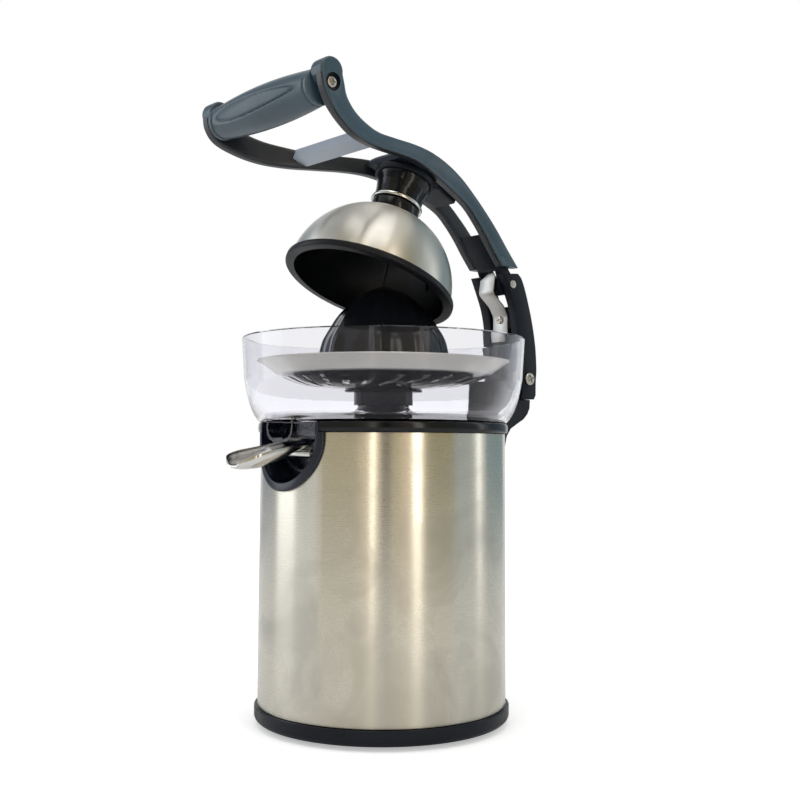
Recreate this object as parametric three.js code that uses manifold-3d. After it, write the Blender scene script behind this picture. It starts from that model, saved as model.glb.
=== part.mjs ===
// Lever citrus juice press, standing on its feet, with the lever raised.
// Millimetres, +Z up. The origin is on the floor, in the middle of the part's
// plan; inside the group of works, it is on the drum's axis.
// The spout faces -Y and the lever's hinge is at +Y.
import * as THREE from 'three';
import { mergeVertices } from 'three/addons/utils/BufferGeometryUtils.js';
import Module from 'manifold-3d';

const wasm = await Module();
wasm.setup();

// Corners nearer to each other than this are one corner
const weldGap = 1e-4;

// Clearances shared by all the pieces
const seatGap = 0.3;
const runGap = 0.15;
const cutOver = 6;

// Number of sides of round pieces
const bigSides = 36;
const midSides = 16;
const smallSides = 8;

// Base, feet and sleeve
const sleeveRadius = 75;
const sleeveWall = 1;
const sleeveHeight = 161.7;
const baseHeight = 9.5;
const baseLip = 2;
const baseFloor = 3;
const baseSpigotHeight = 7.5;
const baseSpigotWall = 2.5;
const baseEdgeRound = 3;
const footRadius = 7;
const footDrop = 2;
const footSocketDepth = 1.5;
const footInset = 21;
const ventWidth = 3;
const ventLength = 26;
const ventPitch = 7;
const ventCount = 6;
const tieScrewHead = 3.5;
const tieScrewShank = 1.75;
const tieScrewLength = 16;
const tieHeadRecess = 2.4;
const legRadius = 5;
const legInset = 5.5;

// Top deck, which carries the bowl, the gearbox and the motor
const deckLip = 1;
const deckRimHeight = 5.7;
const deckPlate = 3;
const deckSpigotDepth = 7;
const deckSpigotWall = 3;
const deckBossRadius = 12;
const deckBossDrop = 11.5;
const deckBossRise = 16.5;
const postRadius = 4;
const postInset = 8;
const postRecessGap = 4.5;

// Spout housing: a U-shaped frame on the sleeve with a recess behind it
const frameOuterRadius = 31.3;
const frameBand = 4.8;
const frameProud = 2;
const frameCentreDrop = 2.8;
const recessDepth = 18.5;
const recessWall = 2;
const recessRibInset = 6;
const recessRibWidth = 1.6;
const recessRibDepth = 5;

// Juice bowl, with its chimney round the shaft and its outlet trough
const bowlRimLip = 12.3;
const bowlRimRadius = sleeveRadius + bowlRimLip;
const bowlFootLip = 0.5;
const bowlHeight = 52;
const bowlShoulderInset = 1.5;
const bowlShoulderRadius = bowlRimRadius - bowlShoulderInset;
const bowlShoulderHeight = 27;
const bowlBend = 3.3;
const bowlWall = 2.2;
const chimneyFootRadius = 20.6;
const chimneyRadius = 16;
const chimneyBore = 14;
const chimneyHeight = 17.6;
const troughHalfWidth = 13;
const troughDepth = 12;
const troughRound = 8;
const troughWall = 1.8;
const troughLength = 17;
const troughOverhang = 3;

// Sieve and its hub
const sieveInset = 7.8;
const sieveRimRadius = bowlShoulderRadius - sieveInset;
const sieveSheet = 1;
const sieveBandWidth = 16;
const sieveBandRadius = sieveRimRadius - sieveBandWidth;
const sieveFloorRadius = 30;
const sieveBandDrop = 10.4;
const sieveSlotDrop = 18.5;
const sieveKneeShares = [0.625, 0.37];
const sieveHoleRadius = 13;
const slotCount = 24;
const slotWidth = 4;
const slotMargin = 5;
const slotInner = sieveFloorRadius + slotMargin;
const slotOuter = sieveBandRadius - slotMargin;
const slotSlant = 22;
const hubFlangeRadius = 24;
const hubFlange = 1.6;
const hubTubeRadius = 18.3;
const hubTubeDrop = 11;
const hubNeckRise = 2.8;
const hubBore = 5.6;

// Juicing cone and its drive shaft
const coneRadius = 42;
const coneHeight = 58;
const coneWall = 2.4;
const coneLift = 7.2;
const coneTipRound = 5;
const ribCount = 8;
const ribHeight = 2.6;
const socketRadius = 9;
const socketRise = 5;
const shaftRadius = 4;
const hexHalfFlats = 3.5;
const shaftHexLength = 24;
const bushingWall = 2.6;
const pressTravel = 2;

// Gear train: output gear, idler cluster and motor pinion
const gearSleeveGap = 11;
const fineToothShare = 2 / 3;
const outputTeeth = 44;
const idlerSmallTeeth = 12;
const idlerBigTeeth = 40;
const pinionTeeth = 10;
const outputGearFace = 8;
const idlerBigFace = 6;
const gearClearance = 2;
const idlerAxleRadius = 3;
const gearDeckGap = 7;
const thrustCupRadius = 9;
const thrustCupHeight = 3.7;
const springRadius = 6.4;
const springWire = 0.55;
const springTurns = 3.5;
const springHeight = 7.6;
const gearPlate = 3;
const plateLegGap = 1.9;
const gearPlateFrontCut = 51;
const gearScrewHead = 3.4;
const gearScrewHeadHeight = 2;
const gearScrewShank = 1.5;
const gearScrewLength = 12;
const motorRadius = 26;
const motorHeight = 72;
const motorEdge = 2;
const motorNeckRadius = 8;
const motorNeckHeight = 2.4;
const motorShaftRadius = 1.6;
const switchLength = 18;
const switchWidth = 10;
const switchHeight = 4.6;

// Pouring spout: a pressed steel chute on a cross pin
const spoutSheet = 1;
const spoutHalfWidth = 17;
const spoutLength = 44;
const spoutPinRadius = 1.5;
const spoutBarrelRadius = 2.7;
const spoutPinInset = 10;
const spoutPinDrop = 18.3;

// Hinge: a channel bracket behind the bowl, held on the housing's rear spine
const hingeReach = 99.5;
const hingeRise = 53.5;
const hingePinRadius = 2.7;
const bracketHalfWidth = 16.3;
const bracketPlate = 6.6;
const bracketBack = 3;
const bracketHeight = 80.3;
const bracketDepth = 22.5;
const bracketScrewHead = 4.25;
const bracketScrewHeadHeight = 1.8;
const bracketScrewShank = 2;
const bracketScrewLength = 13;
const leafWidth = 13.4;
const leafSheet = 0.8;
const leafScrewHead = 2.6;
const leafScrewHeadHeight = 1.3;
const leafScrewShank = 1.4;
const leafScrewLength = 9;
const spineHalfWidth = 13.5;
const spineFoot = 26;
const spineBowlGap = 1.2;
const spineRiser = 10;
const spineScrewSpread = 8;
const spineScrewShank = 1.8;
const spineScrewHead = 3.4;
const spineScrewHeadHeight = 2;
const spineScrewLength = 10;
const glandRadius = 8;
const glandNeck = 5;
const glandBore = 3;
const glandFlange = 2.6;
const glandHeight = 18.5;

// Lever: two side arms, their ties, the grip and the press dome
const openAngle = THREE.MathUtils.degToRad(22.5);
const gripReach = 207.6;
const gripSpread = 61.5;
const armThick = 7;
const armSteps = 20;
const armChamfer = 1.3;
const armHingeHalfWidth = 16;
const armTipRadius = 7.5;
const armTipThick = 11;
const heelHubRadius = 6.5;
const heelRibThick = 1;
const leafSlotRadius = 12.6;
const crossbarShare = 0.755;
const crossbarRiseShare = 0.31;
const crossbarWide = 11;
const crossbarTall = 7;
const hubPadRadius = 19.5;
const hubPadHeight = 4.2;
const hubKnobRadius = 15.5;
const hubBlockRise = 12.5;
const hubWebReach = 36;
const hubWebTall = 3;
const gripEndRadius = 10.3;
const gripSwell = 3.1;
const gripEdge = 1;
const gripCollar = 6;
const gripNeckDip = 0.5;
const gripScrewHead = 3.3;
const gripScrewHeadHeight = 1.6;
const gripScrewShank = 1.9;
const gripScrewLength = 20;
const gripBoreRadius = 5;
const gripBoreDepth = 2.6;
const domeRadius = 51.5;
const domeSheet = 1;
const domeLinerWall = 2;
const domeRimRadius = 54;
const domeRimHeight = 4;
const domeRimEdge = 1;
const domeCentreRise = 1.5;
const domeRibCount = 8;
const domeRibProud = 1.6;
const domeRibThick = 1.8;
const collarRadius = 15.5;
const collarHeight = 4.7;
const neckRingRadius = 16.8;
const neckRingHeight = 2.2;
const neckFootRadius = 15.3;
const neckHeadRadius = 18;
const neckWaist = 0.4;
const neckHeight = 15;
const boltRadius = 3;
const boltHeadRadius = 6;
const boltHeadHeight = 2.4;
const boltThread = 6;

// Levels, worked up from the floor
const baseTop = footDrop + baseHeight;
const sleeveBottom = baseTop + seatGap;
const sleeveTop = sleeveBottom + sleeveHeight;
const deckRimBottom = sleeveTop + seatGap;
const deckTop = deckRimBottom + deckRimHeight;
const deckUnder = deckTop - deckPlate;
const bowlBottom = deckTop + seatGap;
const chimneyTop = bowlBottom + chimneyHeight;
const hubLevel = chimneyTop + seatGap + hubFlange;
const sieveFloorLevel = hubLevel + seatGap;
const sieveRimLevel = sieveFloorLevel + sieveSlotDrop;
const coneBase = sieveFloorLevel + coneLift + seatGap;
const coneTop = coneBase + coneHeight - coneTipRound;
const bossTop = deckTop + deckBossRise;
const sleeveBore = sleeveRadius - sleeveWall;
const recessLevel = sleeveTop - frameCentreDrop;
const legCircle = sleeveBore - seatGap - deckSpigotWall - legInset - seatGap;
const gearPlateRadius = legCircle - legRadius - plateLegGap;
const postReach = gearPlateRadius - postInset;
const frontPostReach = sleeveRadius - recessDepth - recessWall - postRadius - postRecessGap;
const trainTeeth = (outputTeeth + idlerSmallTeeth) / 2 + fineToothShare * (idlerBigTeeth / 2 + 1);
const coarseToothSize = (sleeveBore - gearSleeveGap) / trainTeeth;
const fineToothSize = coarseToothSize * fineToothShare;
const idlerReach = coarseToothSize * (outputTeeth + idlerSmallTeeth) / 2;
const motorReach = idlerReach - fineToothSize * (idlerBigTeeth + pinionTeeth) / 2;
const outputGearTop = deckUnder - deckBossDrop - gearDeckGap;
const outputGearBottom = outputGearTop - outputGearFace;
const thrustCupTop = outputGearBottom - seatGap;
const thrustCupBottom = thrustCupTop - thrustCupHeight;
const springBottom = thrustCupBottom - seatGap - springHeight;
const gearPlateTop = springBottom - seatGap;
const gearPlateBottom = gearPlateTop - gearPlate;
const domeRimLevel = sieveRimLevel + seatGap + 2 * seatGap + 2 * domeSheet;
const hingeLevel = domeRimLevel + hingeRise;

// Materials
const steel = { color: 0xc9c6bd, roughness: 0.32, metalness: 1 };
const springSteel = { color: 0xb9bcb8, roughness: 0.35, metalness: 1 };
const screwSteel = { color: 0xb4b2aa, roughness: 0.4, metalness: 1 };
const satinBlack = { color: 0x14161b, roughness: 0.5, metalness: 0 };
const glossBlack = { color: 0x0c0d12, roughness: 0.18, metalness: 0 };
const slateGrip = { color: 0x2f3d47, roughness: 0.5, metalness: 0 };
const clearPlastic = { color: 0xe4e8ec, roughness: 0.08, metalness: 0, transparent: true, opacity: 0.35 };
const rubber = { color: 0x101010, roughness: 0.85, metalness: 0 };
const motorGrey = { color: 0x80848a, roughness: 0.5, metalness: 0.8 };
const gearWhite = { color: 0xdedcd2, roughness: 0.55, metalness: 0 };
const bronze = { color: 0xa6793f, roughness: 0.4, metalness: 1 };

// Turns a closed geometry into a solid: merges shared corners, drops
// collapsed triangles and points the faces outwards.
function solidOf(geometry) {
  geometry.deleteAttribute('normal');
  geometry.deleteAttribute('uv');
  const merged = mergeVertices(geometry, weldGap);
  const at = merged.attributes.position;
  const corners = [];
  const a = new THREE.Vector3();
  const b = new THREE.Vector3();
  const c = new THREE.Vector3();
  let volume = 0;
  for (let i = 0; i < merged.index.count; i += 3) {
    const [p, q, r] = [0, 1, 2].map((k) => merged.index.getX(i + k));
    if (p === q || q === r || r === p) continue;
    corners.push(p, q, r);
    a.fromBufferAttribute(at, p);
    b.fromBufferAttribute(at, q);
    c.fromBufferAttribute(at, r);
    volume += a.dot(b.cross(c));
  }
  if (volume < 0) corners.reverse();
  const mesh = new wasm.Mesh({
    numProp: 3,
    vertProperties: Float32Array.from(at.array),
    triVerts: Uint32Array.from(corners),
  });
  return new wasm.Manifold(mesh);
}

function geometryOf(solid) {
  const mesh = solid.getMesh();
  const geometry = new THREE.BufferGeometry();
  geometry.setAttribute('position', new THREE.BufferAttribute(mesh.vertProperties, 3));
  geometry.setIndex(new THREE.BufferAttribute(mesh.triVerts, 1));
  return geometry;
}

function join(...solids) {
  return solids.reduce((sum, next) => sum.add(next));
}

function cut(solid, ...tools) {
  return tools.reduce((rest, tool) => rest.subtract(tool), solid);
}

// A profile of [radius, height] pairs turned round the Z axis. It starts
// and ends on the axis, or closes on itself.
function revolve(profile, sides = bigSides) {
  const points = profile.map(([r, z]) => new THREE.Vector2(r, z));
  if (profile[0][0] > 0 || profile.at(-1)[0] > 0) points.push(points[0].clone());
  return solidOf(new THREE.LatheGeometry(points, sides).rotateX(Math.PI / 2));
}

function shapeOf(outline) {
  return new THREE.Shape(outline.map(([u, v]) => new THREE.Vector2(u, v)));
}

function extrusion(outline, depth) {
  return new THREE.ExtrudeGeometry(shapeOf(outline), { depth, bevelEnabled: false });
}

// Points along an arc, for outlines
function arc(u, v, radius, from, to, steps) {
  return Array.from({ length: steps + 1 }, (_, i) => {
    const angle = from + (to - from) * i / steps;
    return [u + radius * Math.cos(angle), v + radius * Math.sin(angle)];
  });
}

// Outlines extruded along each axis between two places on it
function prismZ(outline, low, high) {
  return solidOf(extrusion(outline, high - low).translate(0, 0, low));
}

function prismY(outline, low, high) {
  return solidOf(extrusion(outline, high - low).translate(0, 0, -high).rotateX(Math.PI / 2));
}

const yzPlane = new THREE.Matrix4().makeBasis(
  new THREE.Vector3(0, 1, 0), new THREE.Vector3(0, 0, 1), new THREE.Vector3(1, 0, 0));

function prismX(outline, low, high) {
  return solidOf(extrusion(outline, high - low).translate(0, 0, low).applyMatrix4(yzPlane));
}

function block([x0, y0, z0], [x1, y1, z1]) {
  const geometry = new THREE.BoxGeometry(x1 - x0, y1 - y0, z1 - z0);
  return solidOf(geometry.translate((x0 + x1) / 2, (y0 + y1) / 2, (z0 + z1) / 2));
}

function rodZ(radius, low, high, x = 0, y = 0, sides = smallSides) {
  const geometry = new THREE.CylinderGeometry(radius, radius, high - low, sides);
  return solidOf(geometry.rotateX(Math.PI / 2).translate(x, y, (low + high) / 2));
}

function rodY(radius, low, high, x = 0, z = 0, sides = smallSides) {
  const geometry = new THREE.CylinderGeometry(radius, radius, high - low, sides);
  return solidOf(geometry.translate(x, (low + high) / 2, z));
}

function rodX(radius, low, high, y = 0, z = 0, sides = smallSides) {
  const geometry = new THREE.CylinderGeometry(radius, radius, high - low, sides);
  return solidOf(geometry.rotateZ(Math.PI / 2).translate((low + high) / 2, y, z));
}

// A solid through rings of points, each ring with as many points
function loft(rings) {
  const count = rings[0].length;
  const position = rings.flat().flatMap((p) => [p.x, p.y, p.z]);
  const index = [];
  for (let i = 0; i + 1 < rings.length; i++) {
    for (let k = 0; k < count; k++) {
      const a = i * count + k;
      const b = i * count + (k + 1) % count;
      index.push(a, b, a + count, b, b + count, a + count);
    }
  }
  const last = (rings.length - 1) * count;
  for (let k = 1; k + 1 < count; k++) {
    index.push(0, k + 1, k, last, last + k, last + k + 1);
  }
  const geometry = new THREE.BufferGeometry();
  geometry.setAttribute('position', new THREE.Float32BufferAttribute(position, 3));
  geometry.setIndex(index);
  return solidOf(geometry);
}

// A sheet with thickness: centre(u, v) gives its middle surface
function thickSheet(centre, steps, across, thickness) {
  const step = 1e-3;
  const faces = [[], []];
  for (let i = 0; i <= steps; i++) {
    for (let k = 0; k <= across; k++) {
      const u = i / steps;
      const v = k / across;
      const p = centre(u, v);
      const du = centre(Math.min(u + step, 1), v).sub(centre(Math.max(u - step, 0), v));
      const dv = centre(u, Math.min(v + step, 1)).sub(centre(u, Math.max(v - step, 0)));
      const normal = du.cross(dv).normalize().multiplyScalar(thickness / 2);
      faces[0].push(p.clone().add(normal));
      faces[1].push(p.clone().sub(normal));
    }
  }
  const width = across + 1;
  const rings = Array.from({ length: steps + 1 }, (_, i) => {
    const top = faces[0].slice(i * width, (i + 1) * width);
    const under = faces[1].slice(i * width, (i + 1) * width).reverse();
    return top.concat(under);
  });
  return stripLoft(rings, across);
}

// Joins rings that are long and thin: the ends are closed by quads that
// run from one long side to the other.
function stripLoft(rings, across) {
  const count = rings[0].length;
  const position = rings.flat().flatMap((p) => [p.x, p.y, p.z]);
  const index = [];
  for (let i = 0; i + 1 < rings.length; i++) {
    for (let k = 0; k < count; k++) {
      const a = i * count + k;
      const b = i * count + (k + 1) % count;
      index.push(a, b, a + count, b, b + count, a + count);
    }
  }
  const last = (rings.length - 1) * count;
  for (let k = 0; k < across; k++) {
    const far = count - 1 - k;
    index.push(k, far, k + 1, k + 1, far, far - 1);
    index.push(last + k, last + k + 1, last + far, last + k + 1, last + far - 1, last + far);
  }
  const geometry = new THREE.BufferGeometry();
  geometry.setAttribute('position', new THREE.Float32BufferAttribute(position, 3));
  geometry.setIndex(index);
  return solidOf(geometry);
}

function turned(solid, matrix) {
  return solid.transform(matrix.elements);
}

function shifted(solid, x, y, z) {
  return turned(solid, new THREE.Matrix4().makeTranslation(x, y, z));
}

function mirrorX(solid) {
  return turned(solid, new THREE.Matrix4().makeScale(-1, 1, 1));
}

function spunZ(solid, angle) {
  return turned(solid, new THREE.Matrix4().makeRotationZ(angle));
}

const press = new THREE.Group();
const works = new THREE.Group();
press.add(works);
const lever = new THREE.Group();
lever.position.set(0, hingeReach, hingeLevel);
lever.rotation.x = -openAngle;
const dome = new THREE.Group();
dome.position.set(0, -hingeReach, -hingeRise);
lever.add(dome);
works.add(lever);

function add(name, solid, finish, parent = works) {
  const mesh = new THREE.Mesh(geometryOf(solid), new THREE.MeshStandardMaterial(finish));
  mesh.name = name;
  parent.add(mesh);
}

function around(count, start, place) {
  for (let i = 0; i < count; i++) {
    const angle = start + (i * 2 * Math.PI) / count;
    place(Math.cos(angle), Math.sin(angle), i, angle);
  }
}

// Base, feet, sleeve and the screws that tie the base to the deck's legs
function makeBase() {
  const outer = sleeveRadius + baseLip;
  const spigot = sleeveBore - seatGap;
  const floorTop = footDrop + baseFloor;
  let base = revolve([
    [0, footDrop], [outer - baseEdgeRound, footDrop],
    [outer - baseEdgeRound / 3, footDrop + baseEdgeRound / 3],
    [outer, footDrop + baseEdgeRound], [outer, baseTop], [spigot, baseTop],
    [spigot, baseTop + baseSpigotHeight], [spigot - baseSpigotWall, baseTop + baseSpigotHeight],
    [spigot - baseSpigotWall, floorTop], [0, floorTop],
  ]);
  const socketTop = footDrop + footSocketDepth;
  around(4, 0, (x, y, i) => {
    const reach = outer - footInset;
    base = cut(base, rodZ(footRadius + seatGap, -cutOver, socketTop, x * reach, y * reach, midSides));
    const foot = rodZ(footRadius, 0, socketTop - seatGap, x * reach, y * reach, midSides);
    add(`rubber_foot_${i + 1}`, foot, rubber);
  });
  around(4, Math.PI / 4, (x, y, i) => {
    const px = x * legCircle;
    const py = y * legCircle;
    const headTop = footDrop + tieHeadRecess;
    const pad = rodZ(legRadius + seatGap + 2 * runGap, footDrop + runGap, floorTop, px, py);
    base = join(base, pad);
    base = cut(base,
      rodZ(tieScrewHead + seatGap, -cutOver, headTop + seatGap, px, py),
      rodZ(tieScrewShank + seatGap, -cutOver, floorTop + cutOver, px, py));
    const screw = join(
      rodZ(tieScrewHead, footDrop + seatGap, headTop, px, py),
      rodZ(tieScrewShank, footDrop + seatGap, footDrop + tieScrewLength, px, py));
    add(`tie_screw_${i + 1}`, screw, screwSteel);
  });
  for (let i = 0; i < ventCount; i++) {
    const x = (i - (ventCount - 1) / 2) * ventPitch;
    base = cut(base, block([x - ventWidth / 2, -ventLength / 2, -cutOver],
      [x + ventWidth / 2, ventLength / 2, floorTop + cutOver]));
  }
  add('base_plate', base, satinBlack);
}

// The outline of the spout recess, a U open at the top, grown by a margin
function recessOutline(radius, top) {
  return [[radius, top], [-radius, top], ...arc(0, recessLevel, radius, Math.PI, 2 * Math.PI, midSides / 2)];
}

const recessBack = -(sleeveRadius - recessDepth);
const recessRadius = frameOuterRadius - frameBand;
const recessHoleRadius = recessRadius + recessWall + seatGap;
const recessRibRadius = recessRadius - recessRibInset;

function recessTool(radius, back) {
  return prismY(recessOutline(radius, deckTop + cutOver), -sleeveRadius - cutOver, back);
}

function makeSleeve() {
  let sleeve = revolve([
    [sleeveBore, sleeveBottom], [sleeveRadius, sleeveBottom],
    [sleeveRadius, sleeveTop], [sleeveBore, sleeveTop],
  ]);
  sleeve = cut(sleeve, recessTool(recessHoleRadius, recessBack + recessWall));
  for (const side of [-1, 1]) {
    sleeve = cut(sleeve, rodY(spineScrewShank + seatGap, sleeveBore - cutOver, sleeveRadius + cutOver,
      side * spineScrewSpread, spineScrewLevel));
  }
  const glandHole = rodY(glandNeck + seatGap, sleeveBore - cutOver, sleeveRadius + cutOver,
    0, glandLevel, midSides);
  sleeve = cut(sleeve, glandHole);
  add('housing_sleeve', sleeve, steel);
}

// Deck: the black rim above the sleeve, its plate, spigot, boss and legs
function makeDeck() {
  const rim = sleeveRadius + deckLip;
  const spigot = sleeveBore - seatGap;
  let deck = join(
    revolve([
      [0, deckUnder], [spigot - deckSpigotWall, deckUnder],
      [spigot - deckSpigotWall, deckRimBottom - deckSpigotDepth],
      [spigot, deckRimBottom - deckSpigotDepth], [spigot, deckRimBottom],
      [rim, deckRimBottom], [rim, deckTop], [0, deckTop],
    ]),
    rodZ(deckBossRadius, deckUnder - deckBossDrop, bossTop, 0, 0, midSides));
  const boreRadius = shaftRadius + bushingWall + seatGap;
  const legTools = [rodZ(boreRadius, deckUnder - deckBossDrop - cutOver, bossTop + cutOver, 0, 0, midSides)];
  around(4, Math.PI / 4, (x, y) => {
    const px = x * legCircle;
    const py = y * legCircle;
    deck = join(deck, rodZ(legRadius, footDrop + baseFloor + seatGap, deckUnder + runGap, px, py));
    legTools.push(rodZ(tieScrewShank + seatGap, 0, footDrop + tieScrewLength + seatGap, px, py));
  });
  for (const [x, y] of postPlaces()) {
    deck = join(deck, rodZ(postRadius, gearPlateTop + seatGap, deckUnder + runGap, x, y));
    legTools.push(rodZ(gearScrewShank + seatGap, 0, gearPlateTop + gearScrewLength, x, y));
  }
  const axleTop = deckUnder + deckPlate / 2;
  legTools.push(rodZ(idlerAxleRadius + seatGap, deckUnder - cutOver, axleTop, 0, idlerReach, midSides));
  deck = cut(deck, recessTool(recessHoleRadius, recessBack + recessWall), ...legTools);
  add('top_deck', deck, satinBlack);
}

function postPlaces() {
  return [[postReach, 0], [-postReach, 0], [0, -frontPostReach]];
}

// Spout housing: the U frame lies on the sleeve and the recess goes behind it
function makeSpoutHousing() {
  const frameInner = sleeveRadius + seatGap;
  const frameOuter = sleeveRadius + frameProud;
  const frameTop = sleeveTop;
  const ringTube = revolve([
    [frameInner, recessLevel - frameOuterRadius - cutOver],
    [frameOuter, recessLevel - frameOuterRadius - cutOver],
    [frameOuter, frameTop], [frameInner, frameTop],
  ]);
  const frame = ringTube.intersect(
    prismY(recessOutline(frameOuterRadius, frameTop), -frameOuter - cutOver, recessBack));
  const top = deckTop - seatGap;
  const bucket = prismY(recessOutline(recessRadius + recessWall, top),
    -frameOuter - cutOver, recessBack + recessWall);
  const drum = rodZ(sleeveRadius + frameProud, 0, deckTop + cutOver, 0, 0, bigSides);
  const hollow = prismY(recessOutline(recessRadius, deckTop + cutOver), -frameOuter - cutOver, recessBack);
  let housing = cut(join(frame, bucket.intersect(drum)), hollow);
  const rib = prismY(recessOutline(recessRibRadius, top), recessBack - recessRibDepth, recessBack + runGap);
  const ribHollow = prismY(recessOutline(recessRibRadius - recessRibWidth, deckTop + cutOver),
    recessBack - recessRibDepth - cutOver, recessBack);
  housing = join(housing, cut(rib, ribHollow));
  for (const side of [-1, 1]) {
    const boss = rodX(spoutPinRadius + recessWall, side > 0 ? spoutPinHalf + seatGap : -recessRadius - runGap,
      side > 0 ? recessRadius + runGap : -spoutPinHalf - seatGap, spoutPivotY, spoutPivotZ);
    housing = join(housing, boss);
  }
  add('spout_housing', housing, satinBlack);
}

// Pouring spout, with its barrel on a pin across the recess
const spoutPivotY = -(sleeveRadius - spoutPinInset);
const spoutPivotZ = deckTop - spoutPinDrop;
const spoutPinHalf = recessRadius - 1.5 * recessWall;

// Side view of the chute, from its barrel to its lip, as shares of the
// spout's length forwards and of its half width upwards
const chuteFloorShares = [
  [0, 0.19], [0.22, 0.03], [0.45, -0.26], [0.7, -0.46], [0.88, -0.5], [1, -0.43],
];
const chuteWidthShares = [0.9, 0.94, 0.985, 1, 0.88, 0.3];
const chuteDepthShares = [0.25, 0.27, 0.44, 0.52, 0.4, 0.12];

function makeSpout() {
  const floor = new THREE.CatmullRomCurve3(chuteFloorShares.map(([along, up], i) => new THREE.Vector3(
    spoutHalfWidth * chuteWidthShares[i], -spoutLength * along, spoutHalfWidth * up)));
  const depth = new THREE.CatmullRomCurve3(chuteDepthShares.map((share, i) => new THREE.Vector3(
    i, share * spoutHalfWidth, 0)));
  const centre = (u, v) => {
    const p = floor.getPoint(u);
    const side = 2 * v - 1;
    const lift = depth.getPoint(u).y * Math.pow(Math.abs(side), 2.2);
    return new THREE.Vector3(p.x * Math.sin(side * Math.PI / 2), p.y, p.z + lift);
  };
  const chute = thickSheet(centre, 12, 8, spoutSheet);
  const barrelHalf = spoutHalfWidth * chuteWidthShares[0];
  const barrel = rodX(spoutBarrelRadius, -barrelHalf, barrelHalf, 0, 0);
  const saddle = block([-barrelHalf / 2, -spoutBarrelRadius * 1.6, 0],
    [barrelHalf / 2, 0, spoutHalfWidth * chuteFloorShares[0][1]]);
  const spout = cut(join(chute, barrel, saddle),
    rodX(spoutPinRadius + seatGap, -barrelHalf - cutOver, barrelHalf + cutOver, 0, 0));
  add('pouring_spout', shifted(spout, 0, spoutPivotY, spoutPivotZ), steel);
  add('spout_pin', rodX(spoutPinRadius, -spoutPinHalf, spoutPinHalf, spoutPivotY, spoutPivotZ), screwSteel);
}

// The bowl's outer profile from its foot to its rim
function bowlProfile(inset) {
  const foot = new THREE.Vector2(sleeveRadius + bowlFootLip - inset, inset);
  const bend = new THREE.Vector2(bowlShoulderRadius - bowlBend - inset, bowlShoulderHeight / 5 + inset);
  const shoulder = new THREE.Vector2(bowlShoulderRadius - inset, bowlShoulderHeight);
  const curve = new THREE.QuadraticBezierCurve(foot, bend, shoulder);
  const side = curve.getPoints(5).map((p) => [p.x, bowlBottom + p.y]);
  return side.concat([[bowlRimRadius - inset, bowlBottom + bowlHeight]]);
}

function troughOutline(margin, top) {
  const w = troughHalfWidth - margin;
  const low = bowlBottom - troughDepth + margin;
  const r = troughRound - margin;
  return [[w, top], [-w, top], ...arc(r - w, low + r, r, Math.PI, 1.5 * Math.PI, 3),
    ...arc(w - r, low + r, r, 1.5 * Math.PI, 2 * Math.PI, 3)];
}

function makeBowl() {
  const outer = bowlProfile(0);
  const inner = bowlProfile(bowlWall).reverse();
  const floorTop = bowlBottom + bowlWall;
  const chimney = join(
    revolve([
      [0, bowlBottom], [chimneyFootRadius, bowlBottom], [chimneyFootRadius, floorTop],
      [chimneyRadius, floorTop + bowlWall * 2], [chimneyRadius, chimneyTop], [0, chimneyTop],
    ], midSides));
  let bowl = cut(join(revolve([[0, bowlBottom], ...outer, ...inner, [0, floorTop]]), chimney),
    rodZ(chimneyBore, bowlBottom - cutOver, chimneyTop + cutOver, 0, 0, midSides));
  const front = -(sleeveRadius + troughOverhang);
  const back = -(sleeveRadius - troughLength);
  const trough = prismY(troughOutline(0, bowlBottom + bowlWall / 2), front, back);
  const channel = prismY(troughOutline(troughWall, bowlBottom + bowlWall / 3),
    front - cutOver, back - troughWall);
  const drain = prismY(troughOutline(troughWall, floorTop + bowlWall),
    -(sleeveRadius + bowlFootLip - 2 * bowlWall), back - troughWall);
  bowl = cut(join(bowl, trough), channel, drain);
  add('juice_bowl', bowl, clearPlastic);
}

// Sieve: a dish with slanted slots, resting on a hub over the chimney
function makeSieve() {
  const rim = sieveRimLevel;
  const floor = sieveFloorLevel;
  const bandFoot = rim - sieveBandDrop - sieveSheet;
  const kneeRadius = sieveFloorRadius + (sieveBandRadius - sieveFloorRadius) * sieveKneeShares[0];
  const kneeLevel = floor + (bandFoot - floor) * sieveKneeShares[1];
  let sieve = revolve([
    [sieveHoleRadius, floor], [sieveFloorRadius, floor], [kneeRadius, kneeLevel],
    [sieveBandRadius, bandFoot],
    [sieveRimRadius - sieveSheet, rim - sieveSheet], [sieveRimRadius, rim - sieveSheet],
    [sieveRimRadius, rim], [sieveRimRadius - 2 * sieveSheet, rim],
    [sieveBandRadius, rim - sieveBandDrop + sieveSheet / 3], [kneeRadius, kneeLevel + sieveSheet],
    [sieveFloorRadius, floor + sieveSheet], [sieveHoleRadius, floor + sieveSheet],
  ]);
  around(slotCount, 0, (x, y, i, angle) => {
    const slot = block([slotInner - slotOuter, -slotWidth / 2, floor - cutOver], [0, slotWidth / 2, rim]);
    const slanted = turned(slot, new THREE.Matrix4().makeRotationZ(THREE.MathUtils.degToRad(slotSlant)));
    sieve = cut(sieve, spunZ(shifted(slanted, slotOuter, 0, 0), angle));
  });
  add('sieve', sieve, steel);
  const hub = revolve([
    [hubBore, hubLevel - hubFlange], [chimneyRadius + seatGap, hubLevel - hubFlange],
    [chimneyRadius + seatGap, hubLevel - hubTubeDrop], [hubTubeRadius, hubLevel - hubTubeDrop],
    [hubTubeRadius, hubLevel - hubFlange], [hubFlangeRadius, hubLevel - hubFlange],
    [hubFlangeRadius, hubLevel],
    [sieveHoleRadius - seatGap, hubLevel], [sieveHoleRadius - seatGap, hubLevel + hubNeckRise],
    [hubBore, hubLevel + hubNeckRise],
  ], midSides);
  add('sieve_hub', hub, glossBlack);
}

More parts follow.
